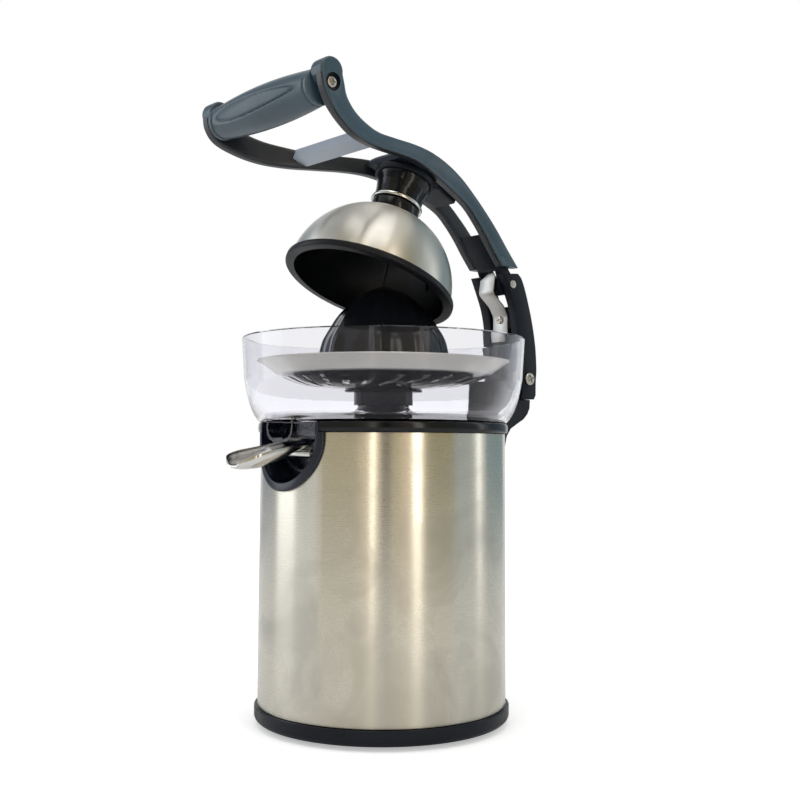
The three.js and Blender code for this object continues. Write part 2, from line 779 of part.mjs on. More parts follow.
// Outer shape of the cone between its ribs, as shares of its radius and height
const coneProfileShares = [
  [1, 0], [1, 0.07], [0.96, 0.28], [0.91, 0.42], [0.8, 0.56], [0.68, 0.69], [0.5, 0.82], [0.3, 0.93],
];

function makeCone() {
  const points = coneProfileShares.map(([r, h]) => new THREE.Vector3(
    r * coneRadius, 0, coneBase + h * coneHeight));
  points.push(new THREE.Vector3(coneTipRound / 3, 0, coneTop + coneTipRound));
  const curve = new THREE.CatmullRomCurve3(points);
  const levels = 8;
  const sides = ribCount * 6;
  const rings = Array.from({ length: levels + 1 }, (_, i) => {
    const p = curve.getPoint(i / levels);
    const fade = Math.min(1, (levels - i) / 4) * Math.min(1, i / 2);
    return Array.from({ length: sides }, (_, k) => {
      const angle = (k * 2 * Math.PI) / sides;
      const crest = Math.pow(Math.abs(Math.cos(angle * ribCount / 2)), 5);
      const r = p.x - ribHeight * fade * (1 - crest) * Math.min(1, p.x / coneRadius + 0.2);
      return new THREE.Vector3(r * Math.cos(angle), r * Math.sin(angle), p.z);
    });
  });
  const inside = revolve([
    [0, coneBase - cutOver], [coneRadius - 2 * coneWall, coneBase - cutOver],
    [coneRadius - 2 * coneWall, coneBase + coneHeight * 0.2],
    [coneRadius * 0.62, coneBase + coneHeight * 0.5],
    [coneRadius * 0.34, coneBase + coneHeight * 0.68], [0, coneBase + coneHeight * 0.72],
  ], midSides);
  const socketBottom = coneBase - coneLift + socketRise;
  const socket = rodZ(socketRadius, socketBottom, coneBase + coneHeight * 0.75, 0, 0, midSides);
  const hex = rodZ((hexHalfFlats + seatGap) / Math.cos(Math.PI / 6), socketBottom - cutOver,
    shaftTop + seatGap, 0, 0, 6);
  add('juicing_cone', cut(join(cut(loft(rings), inside), socket), hex), glossBlack);
}

const shaftTop = coneBase + shaftHexLength;

// Drive shaft, its bushing, the output gear and the press-to-start parts
function makeDrive() {
  const shaftBottom = springBottom + springHeight / 2;
  const hexStart = bossTop + seatGap + pressTravel;
  const shaft = join(
    rodZ(shaftRadius, shaftBottom, hexStart, 0, 0, midSides),
    rodZ(hexHalfFlats / Math.cos(Math.PI / 6), hexStart - runGap, shaftTop, 0, 0, 6));
  add('drive_shaft', shaft, screwSteel);
  const bushing = revolve([
    [shaftRadius + runGap, deckUnder - deckBossDrop], [shaftRadius + bushingWall, deckUnder - deckBossDrop],
    [shaftRadius + bushingWall, bossTop], [shaftRadius + runGap, bossTop],
  ], midSides);
  add('shaft_bushing', bushing, bronze);
  const gear = cut(
    join(
      prismZ(gearOutline(outputTeeth, coarseToothSize, Math.PI / 2), outputGearBottom, outputGearTop),
      rodZ(shaftRadius * 2, outputGearTop - runGap, outputGearTop + gearDeckGap / 2, 0, 0, midSides)),
    rodZ(shaftRadius + seatGap, outputGearBottom - cutOver, outputGearTop + cutOver, 0, 0, midSides));
  add('output_gear', gear, gearWhite);
  const cup = cut(
    join(
      rodZ(thrustCupRadius, thrustCupBottom, thrustCupTop, 0, 0, midSides),
      block([-thrustCupRadius - switchWidth, -switchWidth / 4, thrustCupTop - thrustCupHeight / 2],
        [-thrustCupRadius / 2, switchWidth / 4, thrustCupTop])),
    rodZ(shaftRadius + runGap, thrustCupBottom - cutOver, thrustCupTop + cutOver, 0, 0, midSides));
  add('thrust_cup', cup, bronze);
  const plunger = thrustCupTop - thrustCupHeight / 2 - pressTravel - seatGap;
  const switchEdge = -thrustCupRadius - seatGap - runGap;
  const start = join(
    block([switchEdge - switchLength, -switchWidth / 2, gearPlateTop + seatGap],
      [switchEdge, switchWidth / 2, gearPlateTop + seatGap + switchHeight]),
    block([switchEdge - switchWidth / 2, -switchWidth / 8, gearPlateTop + switchHeight],
      [switchEdge - switchWidth / 4, switchWidth / 8, plunger]));
  add('start_switch', start, satinBlack);
  add('return_spring', springSolid(), springSteel);
}

// A helical spring as one tube along a helix
function springSolid() {
  class Helix extends THREE.Curve {
    getPoint(t, target = new THREE.Vector3()) {
      const angle = t * springTurns * 2 * Math.PI;
      const low = springBottom + springWire;
      const rise = springHeight - 2 * springWire;
      return target.set(springRadius * Math.cos(angle), springRadius * Math.sin(angle), low + t * rise);
    }
  }
  const section = [];
  around(5, 0, (x, y) => section.push([x * springWire, y * springWire]));
  const options = { steps: Math.round(springTurns * 10), extrudePath: new Helix(), bevelEnabled: false };
  return solidOf(new THREE.ExtrudeGeometry(shapeOf(section), options));
}

// A gear's outline: straight-sided teeth, one of them centred on an angle
function gearOutline(teeth, toothSize, toothAngle) {
  const radius = toothSize * teeth / 2;
  const addendum = 0.8 * toothSize;
  const dedendum = 1.15 * toothSize;
  const slope = Math.tan(THREE.MathUtils.degToRad(24));
  const half = 0.205 * Math.PI * toothSize;
  const points = [];
  const corner = (r, offset, angle) => {
    const turn = angle + Math.atan(offset / r);
    points.push([r * Math.cos(turn), r * Math.sin(turn)]);
  };
  for (let i = 0; i < teeth; i++) {
    const angle = toothAngle + (i * 2 * Math.PI) / teeth;
    corner(radius - dedendum, -half - slope * dedendum, angle);
    corner(radius + addendum, -half + slope * addendum, angle);
    corner(radius + addendum, half - slope * addendum, angle);
    corner(radius - dedendum, half + slope * dedendum, angle);
  }
  return points;
}

// Gearbox plate, idler cluster, motor and its pinion
function makeGearbox() {
  let plate = cut(
    rodZ(gearPlateRadius, gearPlateBottom, gearPlateTop, 0, 0, bigSides),
    block([-gearPlateRadius, -gearPlateRadius - cutOver, gearPlateBottom - cutOver],
      [gearPlateRadius, -gearPlateFrontCut, gearPlateTop + cutOver]),
    rodZ(motorNeckRadius + seatGap, gearPlateBottom - cutOver, gearPlateTop + cutOver,
      0, motorReach, midSides),
    rodZ(idlerAxleRadius + seatGap, gearPlateBottom + gearPlate / 2, gearPlateTop + cutOver, 0, idlerReach,
      midSides));
  postPlaces().forEach(([x, y], i) => {
    const hole = rodZ(gearScrewShank + seatGap, gearPlateBottom - cutOver, gearPlateTop + cutOver, x, y);
    plate = cut(plate, hole);
    const screw = join(
      rodZ(gearScrewHead, gearPlateBottom - seatGap - gearScrewHeadHeight, gearPlateBottom - seatGap, x, y),
      rodZ(gearScrewShank, gearPlateBottom - seatGap - runGap, gearPlateBottom + gearScrewLength, x, y));
    add(`gearbox_screw_${i + 1}`, screw, screwSteel);
  });
  add('gearbox_plate', plate, motorGrey);

  const axleBottom = gearPlateBottom + gearPlate / 2 + seatGap;
  const axleTop = deckUnder + deckPlate / 2 - seatGap;
  add('idler_axle', rodZ(idlerAxleRadius, axleBottom, axleTop, 0, idlerReach, midSides), screwSteel);
  const idlerBottom = gearPlateTop + gearClearance;
  const idlerMiddle = idlerBottom + idlerBigFace;
  const cluster = join(
    prismZ(gearOutline(idlerBigTeeth, fineToothSize, -Math.PI / 2), idlerBottom, idlerMiddle),
    prismZ(gearOutline(idlerSmallTeeth, coarseToothSize, -Math.PI / 2 + Math.PI / idlerSmallTeeth),
      idlerMiddle - runGap, outputGearTop + gearClearance));
  const idlerBore = rodZ(idlerAxleRadius + runGap, idlerBottom - cutOver, deckUnder, 0, 0, midSides);
  add('idler_gear', shifted(cut(cluster, idlerBore), 0, idlerReach, 0), gearWhite);

  const canTop = gearPlateBottom - seatGap;
  const neckTop = gearPlateBottom + motorNeckHeight;
  const can = cut(
    join(
      revolve([
        [0, canTop - motorHeight], [motorRadius - motorEdge, canTop - motorHeight],
        [motorRadius, canTop - motorHeight + motorEdge], [motorRadius, canTop - motorEdge],
        [motorRadius - motorEdge, canTop], [0, canTop],
      ], midSides),
      rodZ(motorNeckRadius, canTop - runGap, neckTop, 0, 0, midSides)),
    rodZ(motorShaftRadius + seatGap, canTop - motorHeight / 2, neckTop + cutOver));
  add('motor', shifted(can, 0, motorReach, 0), motorGrey);
  const rotor = join(
    rodZ(motorShaftRadius, canTop - motorHeight / 2 + seatGap, idlerMiddle + gearClearance / 2),
    prismZ(gearOutline(pinionTeeth, fineToothSize, Math.PI / 2 + Math.PI / pinionTeeth),
      neckTop + seatGap, idlerMiddle + gearClearance / 2));
  add('motor_pinion', shifted(rotor, 0, motorReach, 0), screwSteel);
}

// Side outlines of the bracket, as shares of its depth behind the pin
// and of its height from its foot to its pin
const bracketRearShares = [
  [0.2, 0.095], [0.37, 0.05], [0.53, -0.05], [0.65, -0.15], [0.76, -0.25], [0.85, -0.35], [0.92, -0.45],
  [0.97, -0.55], [1, -0.7], [0.97, -0.8], [0.96, -0.92], [0.88, -0.955],
];
const bracketFrontShares = [
  [0.37, -0.95], [0.38, -0.78], [0.3, -0.59], [0.22, -0.392], [0.155, -0.274], [0.05, -0.168],
  [-0.12, -0.057], [-0.35, 0.08],
];

function bracketPoints(shares) {
  return shares.map(([back, up]) => [hingeReach + back * bracketDepth, hingeLevel + up * bracketHeight]);
}

// Where the bracket's back stands at a level
function bracketRearAt(level) {
  const points = bracketPoints(bracketRearShares);
  const i = points.findIndex(([, z], k) => k > 0 && z <= level);
  const [[y0, z0], [y1, z1]] = [points[i - 1], points[i]];
  return y0 + (y1 - y0) * (level - z0) / (z1 - z0);
}

const bracketScrewY = hingeReach + bracketDepth * 0.66;
const bracketScrewLevel = hingeLevel - bracketHeight * 0.785;
const leafScrewLevel = hingeLevel - 1.8 * leafSlotRadius;
const bracketInner = bracketHalfWidth - bracketPlate;
const heelHalfWidth = bracketInner - 2 * seatGap - runGap * 2;

function makeBracket() {
  const outline = bracketPoints(bracketRearShares).concat(bracketPoints(bracketFrontShares));
  const side = prismX(outline, -bracketHalfWidth, bracketHalfWidth);
  const backTop = hingeLevel - leafSlotRadius;
  const rearInner = bracketPoints(bracketRearShares).filter(([, z]) => z < backTop);
  const channelOutline = [
    [hingeReach - bracketDepth - cutOver, hingeLevel - bracketHeight - cutOver],
    [hingeReach - bracketDepth - cutOver, backTop], [bracketRearAt(backTop) - bracketBack, backTop],
    ...rearInner.map(([y, z]) => [y - bracketBack, z]),
    [rearInner.at(-1)[0] - bracketBack, hingeLevel - bracketHeight - cutOver],
  ];
  const channel = prismX(channelOutline, -bracketInner, bracketInner);
  const topSlot = block([-bracketInner, hingeReach - bracketDepth - cutOver, backTop - runGap],
    [bracketInner, hingeReach + bracketDepth + cutOver, hingeLevel + bracketHeight / 4]);
  const padHalf = 0.5 * leafSlotRadius;
  const leafPad = block([-bracketInner - runGap, leafFaceY, leafScrewLevel - padHalf],
    [bracketInner + runGap, hingeReach + bracketDepth, leafScrewLevel + padHalf]);
  const over = bracketHalfWidth + cutOver;
  const bracket = cut(
    join(cut(side, channel, topSlot), leafPad.intersect(side)),
    rodX(hingePinRadius + runGap, -over, over, hingeReach, hingeLevel, midSides),
    rodX(bracketScrewShank + seatGap, -over, over, bracketScrewY, bracketScrewLevel),
    rodY(leafScrewShank + seatGap, hingeReach - cutOver, leafFaceY + leafScrewLength + seatGap,
      0, leafScrewLevel));
  add('hinge_bracket', bracket, satinBlack);

  const pinHalf = bracketHalfWidth + seatGap;
  add('hinge_pin', rodX(hingePinRadius, -pinHalf, pinHalf, hingeReach, hingeLevel, midSides), screwSteel);
  const screw = join(
    rodX(bracketScrewHead, bracketHalfWidth + seatGap, bracketHalfWidth + seatGap + bracketScrewHeadHeight,
      bracketScrewY, bracketScrewLevel),
    rodX(bracketScrewShank, bracketHalfWidth + seatGap + bracketScrewHeadHeight / 2 - bracketScrewLength,
      bracketHalfWidth + seatGap + runGap, bracketScrewY, bracketScrewLevel));
  add('bracket_screw_right', screw, screwSteel);
  add('bracket_screw_left', mirrorX(screw), screwSteel);
}

// Leaf spring in the channel, bent round the front of the lever's heel,
// with its places from the pin as shares of the slot's radius
const leafPathShares = [
  [-0.36, -3], [-0.36, -1.6], [-0.04, -1.08], [0.68, -0.52], [0.74, -0.34], [0.6, 0.4], [0.5, 0.8],
];

// Slanted top edge of the leaf, as shares of its half width sideways and
// of the slot's radius above the pin
const leafTopShares = [[1, 0.45], [0.45, 0.8], [-1, 0.3]];

function leafPoint([forward, up]) {
  return [hingeReach - forward * leafSlotRadius, hingeLevel + up * leafSlotRadius];
}

const leafFaceY = leafPoint(leafPathShares[0])[0] + leafSheet / 2 + seatGap;

function makeLeaf() {
  const path = leafPathShares.map((share) => new THREE.Vector2(...leafPoint(share)));
  const left = [];
  const right = [];
  path.forEach((p, i) => {
    const before = path[Math.max(i - 1, 0)];
    const after = path[Math.min(i + 1, path.length - 1)];
    const along = after.clone().sub(before).normalize();
    const off = new THREE.Vector2(-along.y, along.x).multiplyScalar(leafSheet / 2);
    left.push([p.x + off.x, p.y + off.y]);
    right.unshift([p.x - off.x, p.y - off.y]);
  });
  const foot = leafPoint(leafPathShares[0])[1] - leafSheet;
  const front = prismY([
    [-leafWidth / 2, foot], [leafWidth / 2, foot],
    ...leafTopShares.map(([across, up]) => [across * leafWidth / 2, leafPoint([0, up])[1]]),
  ], hingeReach - 2 * leafSlotRadius, hingeReach + leafSlotRadius);
  const leaf = cut(
    prismX(left.concat(right), -leafWidth / 2, leafWidth / 2).intersect(front),
    rodY(leafScrewShank + seatGap, hingeReach - bracketDepth, hingeReach + bracketDepth, 0, leafScrewLevel));
  add('friction_leaf', leaf, springSteel);
  const face = leafFaceY - seatGap - leafSheet - seatGap;
  const screw = join(
    rodY(leafScrewHead, face - leafScrewHeadHeight, face, 0, leafScrewLevel),
    rodY(leafScrewShank, face - runGap, face + leafScrewLength, 0, leafScrewLevel));
  add('leaf_screw', screw, screwSteel);
}

// Rear spine: rises from the sleeve's back into the foot of the bracket
const spineScrewLevel = deckRimBottom - deckSpigotDepth - 1.6 * spineScrewHead;
const glandLevel = baseTop + glandHeight;

// Rear outline of the spine from its foot, as shares of its reach behind
// the sleeve and of its height
const spineRearShares = [
  [0.08, 0], [0.21, 0.08], [0.37, 0.22], [0.445, 0.36], [0.49, 0.5], [0.58, 0.6], [0.72, 0.665],
  [0.87, 0.73], [0.96, 0.8], [1.01, 0.88], [1.02, 0.97],
];

function makeSpine() {
  const foot = deckRimBottom - spineFoot;
  const rear = hingeReach + bracketDepth * 0.8;
  const bracketFoot = hingeLevel - bracketHeight * 0.955;
  const reach = rear - sleeveRadius;
  const height = bracketFoot - foot;
  const outline = spineRearShares.map(([back, up]) => [sleeveRadius + back * reach, foot + up * height]);
  const top = bracketFoot - seatGap;
  const front = bowlRimRadius + spineBowlGap + seatGap;
  const shelf = deckTop - seatGap;
  const riserBack = hingeReach + bracketFrontShares[0][0] * bracketDepth - seatGap;
  const riserTop = bracketFoot + spineRiser;
  const body = prismX([
    [sleeveRadius * 0.9, foot], ...outline, [outline.at(-1)[0], top], [riserBack, top],
    [riserBack, riserTop], [front, riserTop], [front, shelf], [sleeveRadius * 0.9, shelf],
  ], -spineHalfWidth, spineHalfWidth);
  const tongueFront = riserBack - spineBowlGap;
  const tongueFoot = bracketFoot - bracketBack;
  const tongueTop = bracketScrewLevel + 2 * bracketScrewHead;
  const backAt = (level) => bracketRearAt(Math.max(level, bracketFoot)) - bracketBack - seatGap;
  const tongue = prismX([
    [tongueFront, tongueFoot], [backAt(bracketFoot), tongueFoot], [backAt(bracketFoot), bracketFoot],
    [backAt(bracketScrewLevel), bracketScrewLevel], [backAt(tongueTop), tongueTop],
    [tongueFront, tongueTop],
  ], -bracketInner + seatGap, bracketInner - seatGap);
  const drum = sleeveRadius + seatGap;
  const keepOut = revolve([
    [0, 0], [drum, 0], [drum, deckRimBottom - seatGap], [drum + deckLip, deckRimBottom - seatGap],
    [drum + deckLip, deckTop - seatGap], [sleeveRadius + bowlFootLip + spineBowlGap, deckTop - seatGap],
    [bowlShoulderRadius + spineBowlGap, bowlBottom + bowlShoulderHeight / 2],
    [bowlRimRadius + spineBowlGap, bowlBottom + bowlHeight], [0, bowlBottom + bowlHeight],
  ]);
  const spine = cut(join(cut(body, keepOut), tongue),
    rodX(bracketScrewShank + seatGap, -spineHalfWidth, spineHalfWidth, bracketScrewY, bracketScrewLevel),
    ...[-1, 1].map((side) => rodY(spineScrewShank + seatGap, sleeveBore - cutOver,
      sleeveBore + 1.4 * spineScrewLength, side * spineScrewSpread, spineScrewLevel)));
  add('rear_spine', spine, satinBlack);
  for (const side of [-1, 1]) {
    const x = side * spineScrewSpread;
    const inside = Math.sqrt(sleeveBore ** 2 - (spineScrewSpread + spineScrewHead) ** 2) - seatGap;
    const screw = join(
      rodY(spineScrewHead, inside - spineScrewHeadHeight, inside, x, spineScrewLevel),
      rodY(spineScrewShank, inside - runGap, inside + spineScrewLength, x, spineScrewLevel));
    add(side < 0 ? 'spine_screw_left' : 'spine_screw_right', screw, screwSteel);
  }
  const inside = Math.sqrt(sleeveBore ** 2 - glandRadius ** 2) - 2 * seatGap;
  const nut = glandRadius * 0.875;
  const outside = sleeveRadius + seatGap;
  const gland = revolve([
    [glandBore, inside - glandFlange], [nut, inside - glandFlange], [nut, inside], [glandNeck, inside],
    [glandNeck, outside], [glandRadius, outside], [nut, outside + glandFlange],
    [glandBore, outside + glandFlange],
  ], midSides);
  const lay = new THREE.Matrix4().makeRotationX(-Math.PI / 2);
  add('cable_gland', shifted(turned(gland, lay), 0, 0, glandLevel), rubber);
}

// Stations of a side arm from hinge to grip. Each gives the lower edge, then
// the upper edge, as shares of the grip's reach and of the arm's rise above
// the pin, and its outer face as a share of the way from hinge to grip width.
const armShares = [
  [0.068, 0.163, -0.005, 0.32, 0], [0.12, 0.3, 0.058, 0.475, 0], [0.17, 0.445, 0.121, 0.64, 0],
  [0.221, 0.57, 0.183, 0.775, 0.005], [0.275, 0.665, 0.259, 0.908, 0.018], [0.352, 0.69, 0.337, 0.993, 0.055],
  [0.43, 0.675, 0.419, 0.995, 0.12], [0.491, 0.648, 0.501, 0.93, 0.187], [0.554, 0.58, 0.578, 0.797, 0.264],
  [0.623, 0.443, 0.66, 0.614, 0.352], [0.691, 0.282, 0.737, 0.445, 0.45], [0.769, 0.104, 0.809, 0.346, 0.582],
  [0.845, -0.02, 0.872, 0.292, 0.725], [0.915, -0.057, 0.925, 0.304, 0.857],
  [0.979, -0.022, 0.959, 0.361, 0.967], [1.021, 0.111, 0.973, 0.403, 1], [1.045, 0.304, 0.979, 0.448, 1],
];
const tipShares = [1.012, 0.376];
const gripAxisShares = [0.997, 0.235];
const hubSeat = domeStackHeight() - hingeRise;
const armRise = hubSeat / 0.557;

// Height of the dome, collar, ring and neck above the dome's rim
function domeStackHeight() {
  return domeCentreRise + domeRadius + collarHeight + neckRingHeight + neckHeight + 4 * seatGap;
}

const armLower = new THREE.CatmullRomCurve3(armShares.map(([f, h, , , x]) => new THREE.Vector3(
  armHingeHalfWidth + x * (gripSpread - armHingeHalfWidth), -f * gripReach, h * armRise)));
const armUpper = new THREE.CatmullRomCurve3(armShares.map(([, , f, h, x]) => new THREE.Vector3(
  armHingeHalfWidth + x * (gripSpread - armHingeHalfWidth), -f * gripReach, h * armRise)));

// One eight-sided section of the arm, grown by a margin on all sides
function armSection(t, margin) {
  const low = armLower.getPoint(t);
  const high = armUpper.getPoint(t);
  const up = high.clone().sub(low).normalize();
  up.x = 0;
  const outer = low.x + margin;
  const inner = low.x - armThick - margin;
  low.addScaledVector(up, -margin);
  high.addScaledVector(up, margin);
  const place = (edge, x, lift) => edge.clone().addScaledVector(up, lift).setX(x);
  const c = armChamfer;
  return [
    place(low, outer - c, 0), place(low, outer, c), place(high, outer, -c), place(high, outer - c, 0),
    place(high, inner + c, 0), place(high, inner, -c), place(low, inner, c), place(low, inner + c, 0),
  ];
}

function armSolid(margin) {
  const count = armSteps;
  const rings = Array.from({ length: count + 1 }, (_, i) => armSection(i / count, margin));
  const tip = rodX(armTipRadius + margin, gripSpread - armTipThick - margin, gripSpread + margin,
    -tipShares[0] * gripReach, tipShares[1] * armRise, midSides);
  return join(loft(rings), tip);
}

// The room between the two arms, reaching a little way into each
function betweenArms() {
  const count = armSteps;
  return loft(Array.from({ length: count + 1 }, (_, i) => {
    const low = armLower.getPoint(i / count);
    const high = armUpper.getPoint(i / count);
    const up = high.clone().sub(low);
    up.x = 0;
    low.addScaledVector(up, -1);
    high.addScaledVector(up, 1);
    const inner = low.x - 0.7 * armThick;
    return [low.clone().setX(inner), high.clone().setX(inner), high.setX(-inner), low.setX(-inner)];
  }));
}

function makeLever() {
  const gripY = -gripAxisShares[0] * gripReach;
  const gripZ = gripAxisShares[1] * armRise;
  const arm = cut(armSolid(0),
    rodX(gripScrewShank + seatGap, 0, gripSpread + cutOver, gripY, gripZ),
    rodX(gripBoreRadius, gripSpread - gripBoreDepth, gripSpread + cutOver, gripY, gripZ, midSides));
  add('lever_arm_right', arm, slateGrip, lever);
  add('lever_arm_left', mirrorX(arm), slateGrip, lever);
  const room = cut(betweenArms(), armSolid(seatGap), mirrorX(armSolid(seatGap)));

  const barY = -crossbarShare * gripReach;
  const barZ = crossbarRiseShare * armRise;
  const bar = block([-gripSpread, barY - crossbarWide / 2, barZ - crossbarTall / 2],
    [gripSpread, barY + crossbarWide / 2, barZ + crossbarTall / 2]);
  add('lever_crossbar', bar.intersect(room), slateGrip, lever);

  const padTop = hubSeat + hubPadHeight;
  const pad = cut(rodZ(hubPadRadius, hubSeat, padTop, 0, -hingeReach, midSides),
    armSolid(seatGap), mirrorX(armSolid(seatGap)));
  const knob = shifted(revolve([
    [0, padTop - runGap], [hubPadRadius, padTop - runGap], [hubPadRadius, padTop + hubBlockRise * 0.6],
    [hubKnobRadius, padTop + hubBlockRise * 0.9], [0, padTop + hubBlockRise],
  ], midSides), 0, -hingeReach, 0);
  const web = block([-hubPadRadius, -hingeReach, padTop - runGap],
    [hubPadRadius, -hingeReach + hubWebReach, padTop + hubWebTall]);
  const hub = cut(join(pad, join(knob, web).intersect(room)),
    rodZ(boltRadius + seatGap, hubSeat - cutOver, hubSeat + boltThread + seatGap, 0, -hingeReach));
  add('lever_hub', hub, satinBlack, lever);
  makeHeel();
  makeGrip(gripY, gripZ);
}

// Heel: the web between the arms and the hub on the pin, slotted for the leaf
const heelRibShares = [0.3, 0.42, 0.54];
const heelOutlineShares = [
  [0.17, 0.48], [0.135, 0.6], [0.07, 0.46], [0.012, 0.3], [-0.024, 0.2], [-0.034, 0.03],
];

function makeHeel() {
  const outline = heelOutlineShares.map(([f, h]) => [-f * gripReach, h * armRise]);
  const bottomFront = [[heelHubRadius * 0.5, -heelHubRadius * 0.6], [-heelHubRadius, 0],
    [-0.062 * gripReach, 0.165 * armRise], [-0.12 * gripReach, 0.315 * armRise]];
  const half = Math.min(heelHalfWidth, armHingeHalfWidth - armThick - seatGap);
  const web = prismX(outline.concat(bottomFront), -half, half);
  const hub = rodX(heelHubRadius, -half, half, 0, 0, midSides);
  const slotHalf = leafWidth / 2 + 2 * seatGap;
  const from = THREE.MathUtils.degToRad(80);
  const to = THREE.MathUtils.degToRad(300);
  const slotShape = [...arc(0, 0, leafSlotRadius, from, to, midSides / 2),
    ...arc(0, 0, heelHubRadius, to, from, midSides / 2)];
  const slot = prismX(slotShape, -slotHalf, slotHalf);
  const ribs = heelRibShares.map((share) => {
    const front = -leafSlotRadius * (1 + 3 * share);
    return block([-half, front, armRise * share * 0.6], [half, front + heelRibThick, armRise * share]);
  });
  const heel = cut(join(web, hub, ...ribs.map((rib) => rib.intersect(web))), slot,
    rodX(hingePinRadius + runGap, -half - cutOver, half + cutOver, 0, 0, midSides));
  add('lever_heel', heel, satinBlack, lever);
}

function makeGrip(gripY, gripZ) {
  const half = gripSpread - armTipThick - seatGap;
  const inner = half - gripCollar;
  const profile = [[0, -half], [gripEndRadius - gripEdge, -half], [gripEndRadius, -half + gripEdge],
    [gripEndRadius, -inner]];
  const steps = 7;
  for (let i = 1; i < steps; i++) {
    const swell = gripSwell * Math.sin(i / steps * Math.PI) ** 0.8;
    profile.push([gripEndRadius - gripNeckDip + swell, -inner + (i / steps) * 2 * inner]);
  }
  profile.push([gripEndRadius, inner], [gripEndRadius, half - gripEdge], [gripEndRadius - gripEdge, half],
    [0, half]);
  const lay = new THREE.Matrix4().makeRotationY(Math.PI / 2);
  const screwFace = gripSpread - gripBoreDepth;
  const hole = gripScrewShank + seatGap;
  const inward = screwFace - gripScrewLength;
  const grip = cut(turned(revolve(profile, midSides), lay),
    rodX(hole, inward, half + cutOver), rodX(hole, -half - cutOver, -inward));
  add('grip', shifted(grip, 0, gripY, gripZ), slateGrip, lever);
  const screw = join(
    rodX(gripScrewHead, screwFace + seatGap, screwFace + seatGap + gripScrewHeadHeight, gripY, gripZ),
    rodX(gripScrewShank, inward + seatGap, screwFace + seatGap + runGap, gripY, gripZ));
  add('grip_screw_right', screw, screwSteel, lever);
  add('grip_screw_left', mirrorX(screw), screwSteel, lever);
}

// The dome's ribs run between these angles above its rim
const ribLow = THREE.MathUtils.degToRad(24);
const ribHigh = THREE.MathUtils.degToRad(62);

// A quarter round profile of the dome from its rim to its crown
function quarter(radius, centre, low, high, steps = 5) {
  return Array.from({ length: steps + 1 }, (_, i) => {
    const z = Math.min(low + (high - low) * Math.sin((i / steps) * Math.PI / 2), centre + radius);
    return [Math.sqrt(Math.max(radius ** 2 - (z - centre) ** 2, 0)), z];
  });
}

function makeDome() {
  const hole = boltRadius + seatGap;
  const centre = domeCentreRise;
  const rimTop = domeRimHeight;
  const crown = (radius) => centre + Math.sqrt(radius ** 2 - hole ** 2);
  const shellInner = domeRadius - domeSheet;
  const shell = revolve([
    ...quarter(domeRadius, centre, rimTop + seatGap, crown(domeRadius)),
    ...quarter(shellInner, centre, rimTop + seatGap, crown(shellInner)).reverse(),
  ]);
  add('dome_shell', shell, steel, dome);

  const linerOuter = shellInner - seatGap;
  const linerInner = linerOuter - domeLinerWall;
  let liner = revolve([
    [linerInner - runGap, 0], [domeRimRadius - domeRimEdge, 0], [domeRimRadius, domeRimEdge],
    [domeRimRadius, rimTop - domeRimEdge], [domeRimRadius - domeRimEdge, rimTop],
    ...quarter(linerOuter, centre, rimTop, crown(linerOuter)),
    ...quarter(linerInner, centre, centre, crown(linerInner)).reverse(),
  ]);
  const ribArc = (radius, from, to) => arc(0, centre, radius, from, to, 4);
  const ribFin = prismX([
    ...ribArc(linerInner + domeLinerWall / 3, ribLow, ribHigh),
    ...ribArc(linerInner - domeRibProud, ribHigh, ribLow),
  ], -domeRibThick / 2, domeRibThick / 2);
  around(domeRibCount, 0, (x, y, i, angle) => {
    liner = join(liner, spunZ(ribFin, angle + Math.PI / bigSides));
  });
  add('dome_liner', liner, glossBlack, dome);

  const collarLow = domeRadius + seatGap;
  const collarTop = centre + domeRadius + seatGap + collarHeight;
  const collarFoot = [collarRadius, collarRadius * 0.75, collarRadius * 0.5, hole].map((r) => [
    r, centre + Math.sqrt(collarLow ** 2 - r ** 2)]);
  const collar = revolve([[collarRadius, collarTop], [hole, collarTop], ...collarFoot.reverse()], midSides);
  add('neck_collar', collar, glossBlack, dome);
  const ringLow = collarTop + seatGap;
  const ringTop = ringLow + neckRingHeight;
  const edge = neckRingHeight / 4;
  add('neck_ring', revolve([
    [hole, ringLow], [neckRingRadius - edge, ringLow], [neckRingRadius, ringLow + edge],
    [neckRingRadius, ringTop - edge], [neckRingRadius - edge, ringTop], [hole, ringTop],
  ], midSides), steel, dome);
  const neckLow = ringTop + seatGap;
  const neckTop = neckLow + neckHeight;
  add('neck', revolve([
    [hole, neckLow], [neckFootRadius, neckLow],
    [(neckFootRadius + neckHeadRadius) / 2 - neckWaist, (neckLow + neckTop) / 2],
    [neckHeadRadius, neckTop], [hole, neckTop],
  ], midSides), glossBlack, dome);
  const headTop = centre + Math.sqrt(linerInner ** 2 - boltHeadRadius ** 2) - seatGap;
  const bolt = join(
    rodZ(boltHeadRadius, headTop - boltHeadHeight, headTop, 0, 0, midSides),
    rodZ(boltRadius, headTop - runGap, neckTop + boltThread));
  add('dome_bolt', bolt, screwSteel, dome);
}

makeBase();
makeSleeve();
makeDeck();
makeSpoutHousing();
makeSpout();
makeBowl();
makeSieve();
makeDrive();
makeCone();
makeGearbox();
makeBracket();
makeLeaf();
makeSpine();
makeLever();
makeDome();

// Sets the middle of the whole part's plan over the origin
const plan = new THREE.Box3().setFromObject(press, true);
works.position.y = -(plan.min.y + plan.max.y) / 2;

export default press;
